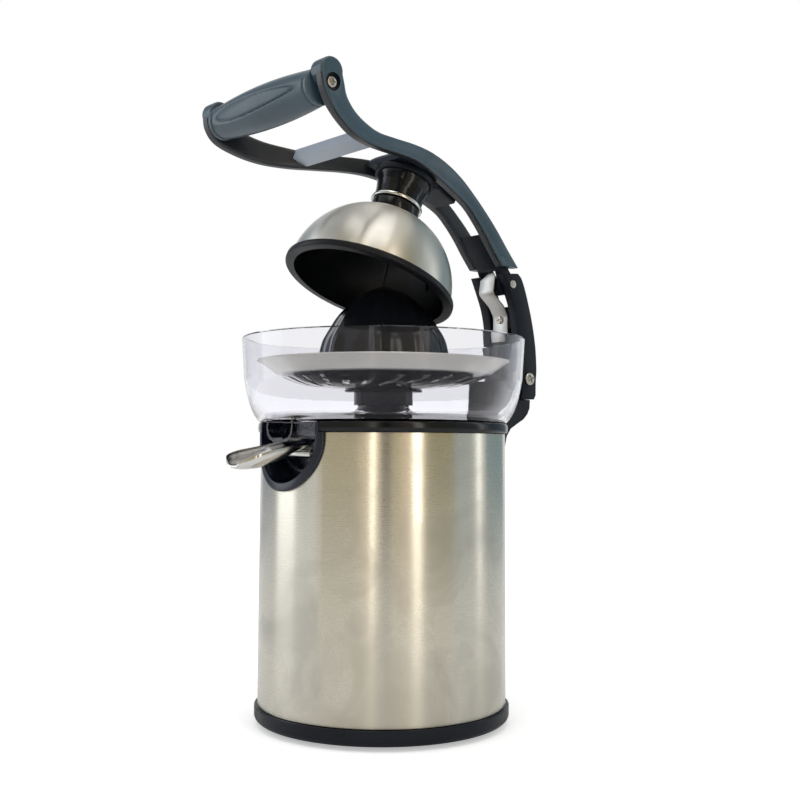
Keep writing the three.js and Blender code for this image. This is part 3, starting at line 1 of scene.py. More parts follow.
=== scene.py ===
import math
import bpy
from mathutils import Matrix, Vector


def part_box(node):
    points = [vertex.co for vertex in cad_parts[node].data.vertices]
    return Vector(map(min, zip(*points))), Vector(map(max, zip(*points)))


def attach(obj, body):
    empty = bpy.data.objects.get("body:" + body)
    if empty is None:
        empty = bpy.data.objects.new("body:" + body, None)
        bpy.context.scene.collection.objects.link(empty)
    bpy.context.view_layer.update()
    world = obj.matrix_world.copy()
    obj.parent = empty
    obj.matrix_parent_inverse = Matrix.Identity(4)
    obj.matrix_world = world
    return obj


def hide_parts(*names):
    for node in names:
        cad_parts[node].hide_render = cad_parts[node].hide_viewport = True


bl_info = {
    "name": "Lever Citrus Press",
    "version": (1, 0, 0),
    "blender": (4, 5, 0),
    "location": "View3D > Sidebar > Citrus Press",
    "description": "Builds the visible surfaces and finishes of a lever citrus press round its frame",
    "category": "Add Mesh",
}

import bmesh
import bpy
import numpy as np
from bpy.props import FloatProperty, FloatVectorProperty, IntProperty, PointerProperty
from mathutils import Matrix, Vector

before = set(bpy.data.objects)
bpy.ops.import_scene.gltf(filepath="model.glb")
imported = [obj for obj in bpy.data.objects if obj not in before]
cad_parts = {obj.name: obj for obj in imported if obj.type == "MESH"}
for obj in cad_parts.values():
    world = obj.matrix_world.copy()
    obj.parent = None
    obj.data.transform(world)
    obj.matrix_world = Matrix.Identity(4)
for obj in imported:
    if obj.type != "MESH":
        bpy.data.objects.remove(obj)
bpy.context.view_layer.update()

MM = 0.001

# Clearance between two pieces that are seated on each other
GAP = 0.3 * MM

# Depth of the bowl's outlet trough below the bowl's floor
TROUGH_DEPTH = 12 * MM

# How far a cutting tool reaches past what it cuts
OVERCUT = 0.01

# The sides that paired pieces stand on, and the axis that points away from the press there
SIDES = ((1, "right"), (-1, "left"))
OUTWARD = {1: "X", -1: "-X"}

# The pieces are made round the drum's axis, which stands a little in front of
# the frame's origin, and are carried to it when they are finished
AXIS = np.array([0, (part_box("housing_sleeve")[0][1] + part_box("housing_sleeve")[1][1]) / 2, 0])


def low(node):
    """Lowest corner of a frame node, from the drum's axis."""
    return np.array(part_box(node)[0]) - AXIS


def high(node):
    """Highest corner of a frame node, from the drum's axis."""
    return np.array(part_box(node)[1]) - AXIS


def centre_of(node):
    """Middle of a frame node's box, from the drum's axis."""
    return (low(node) + high(node)) / 2


def length(name, default, description):
    """A size in metres that shows in the panel."""
    return FloatProperty(
        name=name, default=float(default), min=0.0, precision=4, unit="LENGTH", description=description
    )


def colour(name, default, description):
    """A linear colour that shows in the panel."""
    return FloatVectorProperty(
        name=name, default=default, min=0.0, max=1.0, size=3, subtype="COLOR", description=description
    )


# ---- Settings -------------------------------------------------------------


class DrumSizes(bpy.types.PropertyGroup):
    radius: length("Drum radius", high("housing_sleeve")[0], "Outer radius of the steel drum")
    wall: length("Drum wall", 1 * MM, "Thickness of the steel drum")
    bottom: length("Drum bottom", low("housing_sleeve")[2], "Level of the drum's lower edge")
    top: length("Drum top", high("housing_sleeve")[2], "Level of the drum's upper edge")
    base_radius: length("Base radius", high("base_plate")[0], "Outer radius of the black base")
    deck_radius: length("Deck radius", high("top_deck")[0], "Outer radius of the black rim over the drum")
    deck_top: length(
        "Deck top", low("juice_bowl")[2] + TROUGH_DEPTH - GAP, "Level of the deck under the bowl"
    )
    foot_radius: length("Foot radius", 7 * MM, "Radius of a rubber foot")
    foot_reach: length("Foot reach", 56 * MM, "Distance of a foot from the drum's axis")


class SpoutSizes(bpy.types.PropertyGroup):
    frame_radius: length("Frame radius", high("spout_housing")[0], "Outer radius of the U-shaped frame")
    frame_band: length("Frame band", 4.8 * MM, "Width of the frame's band")
    frame_proud: length("Frame proud", 2 * MM, "How far the frame stands out from the drum")
    recess_depth: length("Recess depth", 18.5 * MM, "Depth of the recess behind the frame")
    half_width: length("Spout half width", 17 * MM, "Half the spout's width")
    reach: length("Spout reach", 44 * MM, "Length of the spout from its pin")
    sheet: length("Spout sheet", 1 * MM, "Thickness of the spout's steel")


class BowlSizes(bpy.types.PropertyGroup):
    rim_radius: length("Bowl rim radius", high("juice_bowl")[0], "Outer radius at the bowl's rim")
    rim_level: length("Bowl rim level", high("juice_bowl")[2], "Level of the bowl's rim")
    wall: length("Bowl wall", 2.2 * MM, "Thickness of the clear wall")
    sieve_radius: length("Sieve radius", high("sieve")[0], "Radius of the sieve's rim")
    sieve_rim: length("Sieve rim level", high("sieve")[2], "Level of the sieve's rim")
    sieve_floor: length("Sieve floor level", low("sieve")[2], "Level of the sieve's flat floor")
    slots: IntProperty(
        name="Sieve slots", default=24, min=6, max=60, description="Number of slots in the sieve"
    )


class ConeSizes(bpy.types.PropertyGroup):
    radius: length("Cone radius", high("juicing_cone")[0], "Radius at the cone's foot")
    bottom: length("Cone bottom", low("juicing_cone")[2], "Level of the cone's socket")
    top: length("Cone top", high("juicing_cone")[2], "Level of the cone's tip")
    rib_height: length("Rib height", 2.8 * MM, "How far the ribs stand out")
    ribs: IntProperty(name="Cone ribs", default=8, min=3, max=16, description="Number of ribs on the cone")


class DomeSizes(bpy.types.PropertyGroup):
    radius: length("Dome radius", 51.5 * MM, "Outer radius of the steel dome")
    rim_radius: length("Dome rim radius", high("dome_liner")[0], "Outer radius of the dome's black rim")
    centre_rise: length("Dome centre", 1.5 * MM, "Height of the dome's centre above its rim")
    rim_height: length("Rim height", 4 * MM, "Height of the black rim")
    hinge_reach: length("Hinge reach", 99.5 * MM, "Distance from the drum's axis to the hinge")
    hinge_level: length("Hinge level", high("hinge_pin")[2] - 2.7 * MM, "Level of the hinge pin's axis")
    hinge_rise: length("Hinge rise", 53.5 * MM, "Height of the hinge above the lowered dome's rim")
    open_angle: FloatProperty(
        name="Raised angle", default=math.radians(22.5), subtype="ANGLE",
        description="How far the lever stands raised",
    )


class LeverSizes(bpy.types.PropertyGroup):
    reach: length("Grip reach", 207.6 * MM, "Distance from the hinge to the grip")
    rise: length("Arm rise", 40.75 * MM, "Height of the arms above the hinge")
    spread: length("Grip spread", high("lever_arm_right")[0], "Half the width over both arms at the grip")
    hinge_half: length("Hinge half width", 16 * MM, "Half the width over both arms at the hinge")
    arm_thick: length("Arm thickness", 7 * MM, "Thickness of a side arm")
    tip_thick: length("Tip thickness", 11 * MM, "Thickness of an arm's tip")
    tip_radius: length("Tip radius", 7.5 * MM, "Radius of an arm's tip")
    grip_radius: length("Grip radius", 10.3 * MM, "Radius at the grip's ends")
    grip_swell: length("Grip swell", 3.1 * MM, "How much thicker the grip is in its middle")


class BracketSizes(bpy.types.PropertyGroup):
    half_width: length("Bracket half width", 16.3 * MM, "Half the bracket's width")
    plate: length("Bracket plate", 6.6 * MM, "Thickness of the bracket's side")
    back: length("Bracket back", 3 * MM, "Thickness of the bracket's back")
    height: length("Bracket height", 80.3 * MM, "Height from the bracket's foot to its pin")
    depth: length("Bracket depth", 22.5 * MM, "How far the bracket reaches behind its pin")
    edge: length("Bracket edge", 1.2 * MM, "Rounding of the bracket's edges")


class Finishes(bpy.types.PropertyGroup):
    drum: colour("Drum steel", (0.67, 0.638, 0.55), "Brushed steel of the drum")
    dome: colour("Dome steel", (0.66, 0.64, 0.58), "Satin steel of the dome")
    sheet: colour("Sheet steel", (0.7, 0.69, 0.66), "Bright steel of the sieve and spout")
    slate: colour("Slate plastic", (0.028, 0.055, 0.075), "Satin plastic of the arms and grip")
    satin: colour("Satin black", (0.008, 0.01, 0.015), "Satin black plastic of the body")
    gloss: colour("Gloss black", (0.006, 0.007, 0.009), "Gloss black plastic of the cone and neck")
    clear: colour("Clear plastic", (0.87, 0.87, 0.9), "Clear plastic of the bowl")
    screw: colour("Screw steel", (0.52, 0.49, 0.44), "Plated steel of the screws")


class PressSettings(bpy.types.PropertyGroup):
    drum: PointerProperty(type=DrumSizes)
    spout: PointerProperty(type=SpoutSizes)
    bowl: PointerProperty(type=BowlSizes)
    cone: PointerProperty(type=ConeSizes)
    dome: PointerProperty(type=DomeSizes)
    lever: PointerProperty(type=LeverSizes)
    bracket: PointerProperty(type=BracketSizes)
    finish: PointerProperty(type=Finishes)


def settings():
    """The sizes and finishes of the press in this scene."""
    return bpy.context.scene.citrus_press


# ---- Mesh making ----------------------------------------------------------


def mesh_object(name, points, faces, places=None):
    """An object from an (n, 3) array, arrays of faces of equal corner counts, and the corners' UV places."""
    mesh = bpy.data.meshes.new(name)
    mesh.vertices.add(len(points))
    mesh.vertices.foreach_set("co", np.ascontiguousarray(points, dtype=np.float32).ravel())
    loops = np.concatenate([np.asarray(f, dtype=np.int32).ravel() for f in faces])
    sizes = np.concatenate([np.full(len(f), np.asarray(f).shape[1], dtype=np.int32) for f in faces])
    starts = np.concatenate(([0], np.cumsum(sizes)[:-1])).astype(np.int32)
    mesh.loops.add(len(loops))
    mesh.loops.foreach_set("vertex_index", loops)
    mesh.polygons.add(len(sizes))
    mesh.polygons.foreach_set("loop_start", starts)
    layer = mesh.uv_layers.new(name="UVMap")
    if places is not None:
        layer.data.foreach_set("uv", np.ascontiguousarray(places, dtype=np.float32).ravel())
    mesh.update(calc_edges=True)
    mesh.validate()
    obj = bpy.data.objects.new(name, mesh)
    bpy.context.collection.objects.link(obj)
    return obj


def grid(name, points, wrap_rows=False):
    """A tube of rings: points[i, j] is point j of ring i. U runs round the closed rings, V along the tube.

    The ends get caps, unless the last ring meets the first.
    """
    rows, cols = points.shape[:2]
    i, j = np.meshgrid(np.arange(rows if wrap_rows else rows - 1), np.arange(cols), indexing="ij")
    up = (i + 1) % rows
    side = (j + 1) % cols
    quads = np.stack([i * cols + j, i * cols + side, up * cols + side, up * cols + j], axis=-1)
    u = np.stack([j, j + 1, j + 1, j], axis=-1) / cols
    v = np.stack([i, i, i + 1, i + 1], axis=-1) / rows
    places = np.stack([u, v], axis=-1).reshape(-1, 2)
    faces = [quads.reshape(-1, 4)]
    if not wrap_rows:
        faces.append(np.arange(cols)[::-1][None, :])
        faces.append(((rows - 1) * cols + np.arange(cols))[None, :])
        places = np.concatenate([places, np.zeros((2 * cols, 2))])
    return mesh_object(name, points.reshape(-1, 3), faces, places)


def turned_points(radius, level, angle):
    """Rings of a turned surface, (r cos a, r sin a, h): a level for each row, an angle for each column."""
    level = np.broadcast_to(level[:, None], (len(level), len(angle)))
    return np.stack([radius * np.cos(angle), radius * np.sin(angle), level], axis=-1)


def lathe(name, profile, segments):
    """A profile of (radius, height) turned round Z, (r cos a, r sin a, h), and closed on itself."""
    profile = np.asarray(profile, dtype=float)
    angle = np.linspace(0, 2 * math.pi, segments, endpoint=False)
    return tidy(grid(name, turned_points(profile[:, :1], profile[:, 1], angle), wrap_rows=True))


def rectangle(left, bottom, right, top):
    """The corners of a rectangle, from the lower left one along the bottom and back over the top."""
    return [(left, bottom), (right, bottom), (right, top), (left, top)]


def plug(name, radius, height, segments):
    """A plain round plug from 0 to a height: a rectangle turned round Z."""
    return lathe(name, rectangle(0, 0, radius, height), segments)


def prism(name, outline, axis, start, end):
    """An outline carried from start to end along an axis: X takes (y, z), Y takes (x, z), Z takes (x, y)."""
    outline = np.asarray(outline, dtype=float)
    steps = np.array([start, end], dtype=float)
    flat = np.repeat(outline[None], 2, axis=0)
    run = np.repeat(steps[:, None, None], len(outline), axis=1)
    order = {"X": [2, 0, 1], "Y": [0, 2, 1], "Z": [0, 1, 2]}[axis]
    points = np.concatenate([flat, run], axis=-1)[..., order]
    return tidy(grid(name, points))


def tidy(obj, distance=1e-6):
    """Merges doubles and turns the faces outwards."""
    bm = bmesh.new()
    bm.from_mesh(obj.data)
    bmesh.ops.remove_doubles(bm, verts=bm.verts, dist=distance)
    bmesh.ops.dissolve_degenerate(bm, dist=distance, edges=bm.edges)
    bmesh.ops.recalc_face_normals(bm, faces=bm.faces)
    bm.to_mesh(obj.data)
    bm.free()
    return obj


def rounded(points, radius, steps=6, closed=False):
    """The polyline with a curve for each corner, from one radius or less before it to as much after it."""
    points = np.asarray(points, dtype=float)
    before = np.roll(points, 1, axis=0)
    after = np.roll(points, -1, axis=0)
    to_before = before - points
    to_after = after - points
    reach_before = np.linalg.norm(to_before, axis=1, keepdims=True)
    reach_after = np.linalg.norm(to_after, axis=1, keepdims=True)
    radius = np.broadcast_to(np.asarray(radius, dtype=float).reshape(-1, 1), (len(points), 1))
    cut = np.minimum(radius, 0.45 * np.minimum(reach_before, reach_after))
    a = points + to_before / np.maximum(reach_before, 1e-12) * cut
    b = points + to_after / np.maximum(reach_after, 1e-12) * cut
    t = np.linspace(0, 1, steps)[None, :, None]
    curve = (1 - t) ** 2 * a[:, None] + 2 * t * (1 - t) * points[:, None] + t**2 * b[:, None]
    if closed:
        return curve.reshape(-1, points.shape[1])
    return np.concatenate([points[:1], curve[1:-1].reshape(-1, points.shape[1]), points[-1:]])


def spline(points, t):
    """Catmull-Rom curve through the points, read at places t from 0 to 1."""
    p = np.asarray(points, dtype=float)
    p = np.concatenate([2 * p[:1] - p[1:2], p, 2 * p[-1:] - p[-2:-1]])
    x = np.clip(np.asarray(t, dtype=float), 0, 1) * (len(p) - 3)
    k = np.minimum(x.astype(int), len(p) - 4)
    u = (x - k)[:, None]
    a, b, c, d = p[k], p[k + 1], p[k + 2], p[k + 3]
    return 0.5 * (2 * b + (c - a) * u + (2 * a - 5 * b + 4 * c - d) * u**2 + (3 * b - a - 3 * c + d) * u**3)


def superellipse(count, power):
    """Unit section: cos and sin of the angle, each to the power 2/n with its sign kept."""
    a = np.linspace(0, 2 * math.pi, count, endpoint=False)
    c, s = np.cos(a), np.sin(a)
    return np.stack([np.sign(c) * np.abs(c) ** (2 / power), np.sign(s) * np.abs(s) ** (2 / power)], axis=-1)


def moved(obj, matrix):
    """Moves an object's mesh, and leaves the object where it is."""
    obj.data.transform(matrix)
    obj.data.update()
    return obj


def join(first, *others):
    """Puts the other objects' meshes into the first one."""
    bm = bmesh.new()
    for part in (first, *others):
        bm.from_mesh(part.data)
    bm.to_mesh(first.data)
    bm.free()
    for part in others:
        bpy.data.objects.remove(part, do_unlink=True)
    return first


def carve(obj, tool, operation="DIFFERENCE"):
    """Cuts or joins obj with a tool object and drops the tool."""
    modifier = obj.modifiers.new("carve", "BOOLEAN")
    modifier.operation = operation
    modifier.solver = "EXACT"
    modifier.use_self = True
    modifier.object = tool
    settle(obj)
    bpy.data.objects.remove(tool, do_unlink=True)
    return obj


def settle(obj):
    """Applies the modifiers of an object to its mesh."""
    graph = bpy.context.evaluated_depsgraph_get()
    graph.update()
    result = bpy.data.meshes.new_from_object(obj.evaluated_get(graph), depsgraph=graph)
    obj.modifiers.clear()
    old = obj.data
    obj.data = result
    bpy.data.meshes.remove(old)
    return obj


def bevelled(obj, width, segments, angle=30):
    """Rounds the edges sharper than an angle and applies it."""
    modifier = obj.modifiers.new("edges", "BEVEL")
    modifier.width = width
    modifier.segments = segments
    modifier.limit_method = "ANGLE"
    modifier.angle_limit = math.radians(angle)
    return settle(obj)


def smooth(obj, angle):
    """Smooth shading with sharp edges above an angle."""
    obj.data.polygons.foreach_set("use_smooth", np.ones(len(obj.data.polygons), dtype=bool))
    obj.data.set_sharp_from_angle(angle=math.radians(angle))
    obj.data.update()
    return obj


def finish_piece(obj, body, material, nodes=(), angle=35):
    """Carries a piece to the drum's axis, shades and paints it, and seats it in place of frame nodes."""
    moved(obj, Matrix.Translation(AXIS))
    smooth(obj, angle)
    obj.data.materials.clear()
    obj.data.materials.append(material)
    if nodes:
        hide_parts(*nodes)
    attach(obj, body)
    return obj


def one_place(obj, u):
    """Gives all corners of a mesh the same U, which the arms' material reads: painted shade at a half, plain
    at 0.
    """
    values = np.tile(np.array([u, 0], dtype=np.float32), len(obj.data.loops))
    obj.data.uv_layers["UVMap"].data.foreach_set("uv", values)
    return obj


def raise_lever(obj, from_dome=False):
    """Turns a mesh made for the lowered lever into the raised pose, about X through the hinge pin.

    The mesh is measured from the pin, or from the middle of the lowered dome's rim.
    """
    d = settings().dome
    shift = Matrix.Translation((0, -d.hinge_reach, -d.hinge_rise)) if from_dome else Matrix.Identity(4)
    turn = Matrix.Rotation(-d.open_angle, 4, "X")
    return moved(obj, Matrix.Translation((0, d.hinge_reach, d.hinge_level)) @ turn @ shift)


# ---- Shader groups --------------------------------------------------------


def new_group(name, values, outputs):
    """An empty shader group that takes a vector and the named values, and its two ends' sockets."""
    group = bpy.data.node_groups.new(name, "ShaderNodeTree")
    group.interface.new_socket("Vector", in_out="INPUT", socket_type="NodeSocketVector")
    for label, default in values.items():
        socket = group.interface.new_socket(label, in_out="INPUT", socket_type="NodeSocketFloat")
        socket.default_value = default
    for label in outputs:
        group.interface.new_socket(label, in_out="OUTPUT", socket_type="NodeSocketFloat")
    return group, group.nodes.new("NodeGroupInput").outputs, group.nodes.new("NodeGroupOutput").inputs


def put(tree, kind, **values):
    """A node with attributes set by name, and sockets by names that start with in_."""
    node = tree.nodes.new(kind)
    for key, value in values.items():
        if key.startswith("in_"):
            node.inputs[key[3:].replace("_", " ")].default_value = value
        else:
            setattr(node, key, value)
    return node


def feed(tree, socket, value):
    """Links an output to a socket, or sets the socket to a number or a colour."""
    if isinstance(value, bpy.types.NodeSocket):
        tree.links.new(value, socket)
    elif isinstance(value, (int, float)):
        socket.default_value = value
    else:
        socket.default_value = (*value, 1)


def ramp(tree, source, stops):
    """A ramp of greys with the given (place, grey) stops."""
    node = tree.nodes.new("ShaderNodeValToRGB")
    elements = node.color_ramp.elements
    while len(elements) > 1:
        elements.remove(elements[-1])
    for k, (place, grey) in enumerate(stops):
        element = elements[0] if k == 0 else elements.new(place)
        element.position = place
        element.color = (grey, grey, grey, 1)
    tree.links.new(source, node.inputs["Fac"])
    return node.outputs["Color"]


def math_node(tree, operation, a, b):
    """The sum, product or greater of two values, each a number or a socket."""
    node = put(tree, "ShaderNodeMath", operation=operation)
    feed(tree, node.inputs[0], a)
    feed(tree, node.inputs[1], b)
    return node.outputs[0]


def noise(tree, vector, scale, **values):
    """A noise at a vector socket, with its scale from a socket."""
    node = put(tree, "ShaderNodeTexNoise", **values)
    tree.links.new(vector, node.inputs["Vector"])
    tree.links.new(scale, node.inputs["Scale"])
    return node.outputs["Fac"]


def grain_group():
    """Fine moulded grain: two noises of different size. Gives a height and a soft patchy mask."""
    group, given, gives = new_group("Moulded grain", {"Grain": 1800.0, "Patches": 60.0}, ["Height", "Mask"])
    fine = noise(group, given["Vector"], given["Grain"], in_Detail=3.0, in_Roughness=0.6)
    broad = noise(group, given["Vector"], given["Patches"], in_Detail=4.0, in_Roughness=0.55)
    group.links.new(fine, gives["Height"])
    group.links.new(broad, gives["Mask"])
    return group


def brushing_group():
    """Brushed lines round the Z axis: noise squeezed along Z. Gives fine lines and broader streaks."""
    group, given, gives = new_group("Brushed lines", {"Lines": 1.0}, ["Height", "Streaks"])
    for label, squeeze in (("Height", (9, 9, 5200)), ("Streaks", (3, 3, 1500))):
        mapping = put(group, "ShaderNodeMapping", vector_type="POINT", in_Scale=squeeze)
        group.links.new(given["Vector"], mapping.inputs["Vector"])
        lines = noise(group, mapping.outputs["Vector"], given["Lines"], in_Detail=4.0, in_Roughness=0.65)
        group.links.new(lines, gives[label])
    return group


def marks_group():
    """Handling marks: the denser spots of a warped cloud. Gives a mask for tone and roughness."""
    group, given, gives = new_group("Handling marks", {"Size": 22.0, "Amount": 0.5}, ["Marks"])
    cloud = noise(group, given["Vector"], given["Size"], in_Detail=5.0, in_Roughness=0.6, in_Distortion=0.8)
    spots = ramp(group, cloud, [(0.42, 0.0), (0.62, 1.0)])
    group.links.new(math_node(group, "MULTIPLY", spots, given["Amount"]), gives["Marks"])
    return group


GROUPS = {}


def use_group(tree, name, vector, **values):
    """The outputs of a shared shader group, made on first use, with its values set by name."""
    makers = {"grain": grain_group, "brushing": brushing_group, "marks": marks_group}
    if name not in GROUPS:
        GROUPS[name] = makers[name]()
    node = put(tree, "ShaderNodeGroup", node_tree=GROUPS[name])
    tree.links.new(vector, node.inputs["Vector"])
    for key, value in values.items():
        node.inputs[key].default_value = value
    return node.outputs


# ---- Materials ------------------------------------------------------------

# Height in metres of the fine relief that a bump of strength 1 stands for
FINE_RELIEF = 0.00005


def start_material(name, turn=(0, 0, 0), centre=tuple(AXIS)):
    """A new material: its tree, its Principled shader and its object coordinates, centred and turned."""
    material = bpy.data.materials.new(name)
    material.use_nodes = True
    tree = material.node_tree
    shader = tree.nodes["Principled BSDF"]
    coordinates = tree.nodes.new("ShaderNodeTexCoord")
    mapping = put(tree, "ShaderNodeMapping", vector_type="TEXTURE", in_Location=centre, in_Rotation=turn)
    tree.links.new(coordinates.outputs["Object"], mapping.inputs["Vector"])
    return material, tree, shader, mapping.outputs["Vector"]


def bump(tree, shader, height, strength, distance=FINE_RELIEF):
    """Turns a height socket into the shader's normal."""
    node = put(tree, "ShaderNodeBump", in_Strength=strength, in_Distance=distance)
    tree.links.new(height, node.inputs["Height"])
    tree.links.new(node.outputs["Normal"], shader.inputs["Normal"])


def mix_colour(tree, factor, a, b, blend="MIX"):
    """Mixes two colours, or blends them another way, by a factor."""
    node = put(tree, "ShaderNodeMix", data_type="RGBA", blend_type=blend)
    feed(tree, node.inputs["Factor"], factor)
    for value, socket in zip((a, b), [s for s in node.inputs if s.type == "RGBA"]):
        feed(tree, socket, value)
    return [s for s in node.outputs if s.type == "RGBA"][0]


def spread(tree, value, lowest, highest):
    """Carries a 0 to 1 value to the range lowest to highest."""
    node = put(tree, "ShaderNodeMapRange", in_To_Min=lowest, in_To_Max=highest, clamp=True)
    tree.links.new(value, node.inputs["Value"])
    return node.outputs["Result"]


def uv_place(tree, axis):
    """The place across (X) or along (Y) a piece's own UV map."""
    places = put(tree, "ShaderNodeUVMap", uv_map="UVMap")
    parts = tree.nodes.new("ShaderNodeSeparateXYZ")
    tree.links.new(places.outputs["UV"], parts.inputs[0])
    return parts.outputs[axis]


def ring_reach(tree, vector):
    """Distance of a place from the Z axis: the length of (x, y, 0)."""
    flat = put(tree, "ShaderNodeVectorMath", operation="MULTIPLY")
    flat.inputs[1].default_value = (1, 1, 0)
    tree.links.new(vector, flat.inputs[0])
    reach = put(tree, "ShaderNodeVectorMath", operation="LENGTH")
    tree.links.new(flat.outputs["Vector"], reach.inputs[0])
    return reach.outputs["Value"]


def soft_step(tree, value, start, end):
    """0 below start, 1 above end, and a smooth rise between them."""
    step = put(tree, "ShaderNodeMapRange", interpolation_type="SMOOTHSTEP", in_From_Min=start,
               in_From_Max=end)
    tree.links.new(value, step.inputs["Value"])
    return step.outputs["Result"]


def tinted(base, factor):
    """A colour times a factor, with no channel over 1."""
    return tuple(min(1.0, c * factor) for c in base)


def paint(tree, shader, tone, roughness, **values):
    """Feeds the shader its colour and roughness, and plain values by socket name with _ for a space."""
    tree.links.new(tone, shader.inputs["Base Color"])
    tree.links.new(roughness, shader.inputs["Roughness"])
    for key, value in values.items():
        shader.inputs[key.replace("_", " ")].default_value = value


def brushed_steel(name, base, roughness, turn=(0, 0, 0), centre=tuple(AXIS), smudge=0.16, polish_and_painted_dark=None):
    """Steel brushed round an axis: fine lines in height and tone, cloudy marks, and sheen across the lines.

    The polish radii, when given, are where it changes from a polish inside, its colour darkened to a quarter
    as painted dark reflection of the deck below, to the brushed finish outside, on the first half of the
    profile, where V is below a half.
    """
    material, tree, shader, vector = start_material(name, turn, centre)
    lines = use_group(tree, "brushing", vector, Lines=1.0)
    marks = use_group(tree, "marks", vector, Size=24.0, Amount=1.0)["Marks"]
    streaked = mix_colour(tree, lines["Streaks"], tinted(base, 0.96), tinted(base, 1.04))
    cloudy = ramp(tree, marks, [(0.0, 1.0), (1.0, 1 - smudge)])
    tone = mix_colour(tree, 1.0, streaked, cloudy, "MULTIPLY")
    streaky = spread(tree, lines["Streaks"], roughness - 0.04, roughness + 0.04)
    rough = math_node(tree, "ADD", streaky, spread(tree, marks, 0.0, 0.05))
    if polish_and_painted_dark:
        upper_side = ramp(tree, uv_place(tree, "Y"), [(0.0, 0.0), (0.48, 0.0), (0.5, 1.0)])
        outer_band = soft_step(tree, ring_reach(tree, vector), *polish_and_painted_dark)
        plain = math_node(tree, "MAXIMUM", outer_band, upper_side)
        # The polished inside gets a quarter of the base colour: painted dark reflection of the deck below
        tone = mix_colour(tree, plain, tinted(base, 0.24), tone)
        rough = math_node(tree, "ADD", rough, spread(tree, plain, 0.14 - roughness, 0.0))
    paint(tree, shader, tone, rough, Metallic=1.0, Anisotropic=0.9, Anisotropic_Rotation=0.25)
    tangent = put(tree, "ShaderNodeTangent", direction_type="UV_MAP", uv_map="UVMap")
    tree.links.new(tangent.outputs["Tangent"], shader.inputs["Tangent"])
    bump(tree, shader, lines["Height"], 0.03)
    return material


def sheet_steel(name, base, roughness):
    """Bright drawn sheet: soft cloudy colour, light marks and a faint ripple."""
    material, tree, shader, vector = start_material(name)
    marks = use_group(tree, "marks", vector, Size=60.0, Amount=0.7)["Marks"]
    grain = use_group(tree, "grain", vector, Grain=2600.0, Patches=90.0)
    tone = mix_colour(tree, grain["Mask"], tinted(base, 0.86), tinted(base, 1.1))
    paint(tree, shader, tone, spread(tree, marks, roughness, roughness + 0.12), Metallic=1.0)
    bump(tree, shader, grain["Height"], 0.12)
    return material


def moulded_plastic(name, base, roughness, relief=0.25, coat=0.0, lift=1.4, gleam=0.5):
    """Moulded plastic: fine grain in the height, patchy sheen and paler rubbed patches."""
    material, tree, shader, vector = start_material(name)
    grain = use_group(tree, "grain", vector, Grain=2200.0, Patches=45.0)
    marks = use_group(tree, "marks", vector, Size=38.0, Amount=0.8)["Marks"]
    tone = mix_colour(tree, grain["Mask"], tinted(base, 0.8), tinted(base, lift))
    paint(tree, shader, tone, spread(tree, marks, roughness, roughness + 0.1), Coat_Weight=coat,
          Coat_Roughness=0.08, Specular_IOR_Level=gleam)
    bump(tree, shader, grain["Height"], relief)
    return material


def arm_plastic_with_painted_shade(name, base, inner, roughness):
    """Moulded plastic with painted shade, dark on the inner side of an arm, where U runs from 0.34 to 0.86.
    """
    material = moulded_plastic(name, base, roughness, coat=0.1)
    tree = material.node_tree
    colour_socket = tree.nodes["Principled BSDF"].inputs["Base Color"]
    # Painted shade: the arm's inner side and the screw wells take the dark inner colour
    inside = ramp(tree, uv_place(tree, "X"), [(0.0, 0.0), (0.33, 0.0), (0.34, 1.0), (0.86, 1.0), (0.87, 0.0)])
    toned = colour_socket.links[0].from_socket
    tree.links.new(mix_colour(tree, inside, toned, inner), colour_socket)
    return material


def clear_plastic(name, base):
    """Clear moulded plastic with faint flow ripples and light wipe marks."""
    material, tree, shader, vector = start_material(name)
    ripple = use_group(tree, "grain", vector, Grain=60.0, Patches=20.0)
    marks = use_group(tree, "marks", vector, Size=30.0, Amount=0.6)["Marks"]
    tone = mix_colour(tree, ripple["Mask"], tinted(base, 0.98), tinted(base, 1.02))
    paint(tree, shader, tone, spread(tree, marks, 0.015, 0.06), Transmission_Weight=1.0, IOR=1.46,
          Specular_Tint=(0.3, 0.3, 0.33, 1))
    bump(tree, shader, ripple["Height"], 0.08, 8 * FINE_RELIEF)
    return material


def rubber(name, base):
    """Dull rubber: coarse grain with paler rubbed patches."""
    material, tree, shader, vector = start_material(name)
    grain = use_group(tree, "grain", vector, Grain=2200.0, Patches=120.0)
    tone = mix_colour(tree, grain["Mask"], tinted(base, 0.7), tinted(base, 1.6))
    paint(tree, shader, tone, spread(tree, grain["Mask"], 0.7, 0.9), Specular_IOR_Level=0.25)
    bump(tree, shader, grain["Height"], 0.5, 2 * FINE_RELIEF)
    return material


MATERIALS = {}

# Colours that the panel doesn't show
# The sieve's steel raised to a pale cream: partly its own tone, partly painted bright reflection on its
# brushed band
SIEVE_TONE_AND_PAINTED_REFLECTION = (0.93, 0.91, 0.85)
# Painted shade for the arms' inner sides and screw wells
ARM_PAINTED_SHADE_TONE = (0.008, 0.012, 0.018)
CROSSBAR_TONE = (0.36, 0.41, 0.48)
RECESS_TONE = (0.007, 0.01, 0.02)
RUBBER_TONE = (0.012, 0.012, 0.013)
GEAR_TONE = (0.72, 0.71, 0.66)
BRONZE_TONE = (0.5, 0.33, 0.14)
MOTOR_TONE = (0.3, 0.31, 0.33)

# The sieve is polished inside the first radius, its colour painted dark there as reflection of the deck
# below, and brushed outside the second
SIEVE_POLISH_AND_PAINTED_DARK = (64 * MM, 67 * MM)


